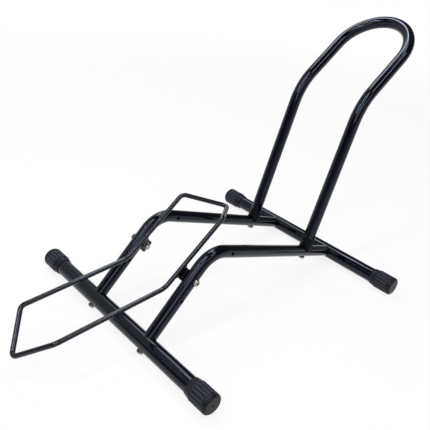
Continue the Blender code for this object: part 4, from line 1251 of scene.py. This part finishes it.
def bolt(node_name, origin, axis, length):
    """A bolt from tip to socket floor: rolled thread, plain shank, head underside, side, crown, socket.

    The thread's radius dips by a raised cosine of travel over pitch less turn over a full turn. The
    crown is a quarter ellipse, and from the socket's rim inwards the rows are hexagons. The socket
    and the head's side are marked for painted shade, darker with the depth below the crown's top.
    """
    turn = round_turns(BOLT_SIDES)
    threaded = np.arange(BOLT_TIP_CHAMFER, THREAD_LENGTH, THREAD_STEP)[:, None]
    wave = 0.5 - 0.5 * np.cos(2 * np.pi * threaded / THREAD_PITCH - turn)
    run_in = smooth_step(0.0, THREAD_PITCH, threaded - BOLT_TIP_CHAMFER)
    run_out = smooth_step(0.0, 2 * THREAD_PITCH, THREAD_LENGTH - THREAD_PITCH - threaded)
    thread = BOLT_RADIUS - THREAD_DEPTH * wave * run_in * run_out
    arc = quarter(BOLT_CROWN_ROWS)
    top = BOLT_HEAD_RADIUS * BOLT_CROWN_SHARE
    crown_radius = top + (BOLT_HEAD_RADIUS - top) * np.cos(arc)
    crown_height = BOLT_HEAD_SIDE + (BOLT_HEAD_HEIGHT - BOLT_HEAD_SIDE) * np.sin(arc)
    socket = hexagon(turn, BOLT_SOCKET_WIDTH)
    socket_floor = BOLT_HEAD_HEIGHT - BOLT_SOCKET_DEPTH
    radius, height = rows_of([
        (0.0, -length),
        (BOLT_RADIUS - BOLT_TIP_CHAMFER, -length),
        (thread, threaded - length),
        (BOLT_RADIUS, THREAD_LENGTH - length),
        (BOLT_RADIUS, -BOLT_EDGE_BREAK),
        (BOLT_RADIUS + BOLT_NECK_SPREAD, 0.0),
        (BOLT_HEAD_RADIUS - BOLT_EDGE_BREAK, 0.0),
        (BOLT_HEAD_RADIUS, BOLT_EDGE_BREAK),
        (crown_radius, crown_height),
        (socket + BOLT_SOCKET_RIM, BOLT_HEAD_HEIGHT),
        (socket, BOLT_HEAD_HEIGHT - BOLT_SOCKET_RIM),
        (socket, socket_floor + BOLT_SOCKET_FOOT),
        (socket - BOLT_SOCKET_FOOT, socket_floor),
        (0.0, socket_floor - BOLT_SOCKET_CONE)], BOLT_SIDES)
    # Painted shade: the socket darkens with depth, and the head's side darkens towards the part it sits
    # on.
    in_socket = (radius < BOLT_SOCKET_WIDTH / math.sqrt(3) + PAINTED_SHADE_SLACK) & (height > 0.0)
    on_side = (radius > BOLT_HEAD_RADIUS * PAINTED_SHADE_FROM_SHARE) & (height > -PAINTED_SHADE_SLACK)
    below_top = BOLT_HEAD_HEIGHT - height
    painted_shade = in_socket * smooth_step(0.0, BOLT_SOCKET_DEPTH / 2, below_top)
    painted_shade = painted_shade + on_side * smooth_step(0.0, BOLT_HEAD_HEIGHT, below_top) * HEAD_SIDE_PAINTED_SHADE
    zinc_piece(node_name, "screw", radius, height, origin, axis, edge=painted_shade, sharp=38.0)


BAR_SEAT = BAR_RADIUS + SEAT_GAP
RAIL_SEAT = RAIL_RADIUS + SEAT_GAP
WASHER_THICKNESS = 0.0012
NUT_HEIGHT = 0.0045
NUT_THREAD_SHOWN = 0.0010
BAR_BOLT_LENGTH = 2 * BAR_SEAT + SEAT_GAP + PLUG_LENGTH + PLUG_THREAD_SHOWN
HOOP_BOLT_LENGTH = RAIL_SEAT + SADDLE_RADIUS + 2 * SEAT_GAP + PLUG_LENGTH + PLUG_THREAD_SHOWN
PIVOT_HEAD_X = RAIL_X + RAIL_SEAT
WASHER_X = CRADLE_X - BRACKET_THICKNESS / 2 - SEAT_GAP
NUT_X = WASHER_X - WASHER_THICKNESS - SEAT_GAP
PIVOT_BOLT_LENGTH = PIVOT_HEAD_X - NUT_X + NUT_HEIGHT + NUT_THREAD_SHOWN

for side, word in SIDES:
    across = side * ACROSS
    under_front_bar = FRONT_BAR + across * RAIL_X - RAIL_RISE * BAR_SEAT
    under_rear_bar = REAR_BAR + across * RAIL_X + RAIL_FALL * BAR_SEAT
    under_rail = HOOP_FOOT + across * RAIL_X - LEG_RISE * RAIL_SEAT
    bolt(f"front_bar_bolt_{word}", under_front_bar, -RAIL_RISE, BAR_BOLT_LENGTH)
    bolt(f"rear_bar_bolt_{word}", under_rear_bar, RAIL_FALL, BAR_BOLT_LENGTH)
    bolt(f"hoop_bolt_{word}", under_rail, -LEG_RISE, HOOP_BOLT_LENGTH)
    bolt(f"pivot_bolt_{word}", PIVOT + across * PIVOT_HEAD_X, across, PIVOT_BOLT_LENGTH)


# Washers and nuts: inside each bracket, a flat washer and a hexagon nut close the pivot bolt. Both
# are bright zinc plated, and a turn of thread shows past the nut.
WASHER_RADIUS = 0.0059
WASHER_OUTER_EDGE = 0.0003
WASHER_BORE_EDGE = 0.0001
WASHER_ARC_STEPS = 3
NUT_WIDTH = 0.0100
NUT_FACE_SHARE = 0.96
NUT_BORE_EDGE = 0.0004
NUT_CHAMFER_SLOPE = math.tan(math.radians(30.0))


def washer(node_name, origin, axis):
    """A flat ring with softly broken edges, closed on itself."""
    corners = [
        (WASHER_RADIUS, 0.0), (WASHER_RADIUS, WASHER_THICKNESS),
        (BOLT_BORE, WASHER_THICKNESS), (BOLT_BORE, 0.0)]
    radii = [WASHER_OUTER_EDGE, WASHER_OUTER_EDGE, WASHER_BORE_EDGE, WASHER_BORE_EDGE]
    profile = rounded(corners, radii, WASHER_ARC_STEPS)
    radius = np.repeat(profile[:, :1], BOLT_SIDES, axis=1)
    zinc_piece(node_name, "ring", radius, profile[:, 1:], origin, axis, along=True, sharp=38.0)


def nut(node_name, origin, axis):
    """A hexagon nut: where a flat's corner stands past the chamfer's round, the end slopes away."""
    flats = hexagon(round_turns(BOLT_SIDES), NUT_WIDTH)
    face = NUT_WIDTH / 2 * NUT_FACE_SHARE
    drop = np.maximum(flats - face, 0.0) * NUT_CHAMFER_SLOPE
    radius, height = rows_of([
        (BOLT_BORE, NUT_BORE_EDGE),
        (BOLT_BORE + NUT_BORE_EDGE, 0.0),
        (face, 0.0),
        (flats, drop),
        (flats, NUT_HEIGHT - drop),
        (face, NUT_HEIGHT),
        (BOLT_BORE + NUT_BORE_EDGE, NUT_HEIGHT),
        (BOLT_BORE, NUT_HEIGHT - NUT_BORE_EDGE)], BOLT_SIDES)
    zinc_piece(node_name, "hexagon", radius, height, origin, axis, along=True, sharp=25.0)


for side, word in SIDES:
    across = side * ACROSS
    washer(f"pivot_washer_{word}", PIVOT + across * WASHER_X, -across)
    nut(f"pivot_nut_{word}", PIVOT + across * NUT_X, -across)


# Threaded plugs: a zinc-plated steel plug pressed into each end of both rails and each foot of the
# hoop. They are out of sight inside the tubes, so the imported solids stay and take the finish.
for name, solid in frame["nodes"].items():
    if "_plug_" in name:
        solid.data.materials.clear()
        solid.data.materials.append(ZINC)
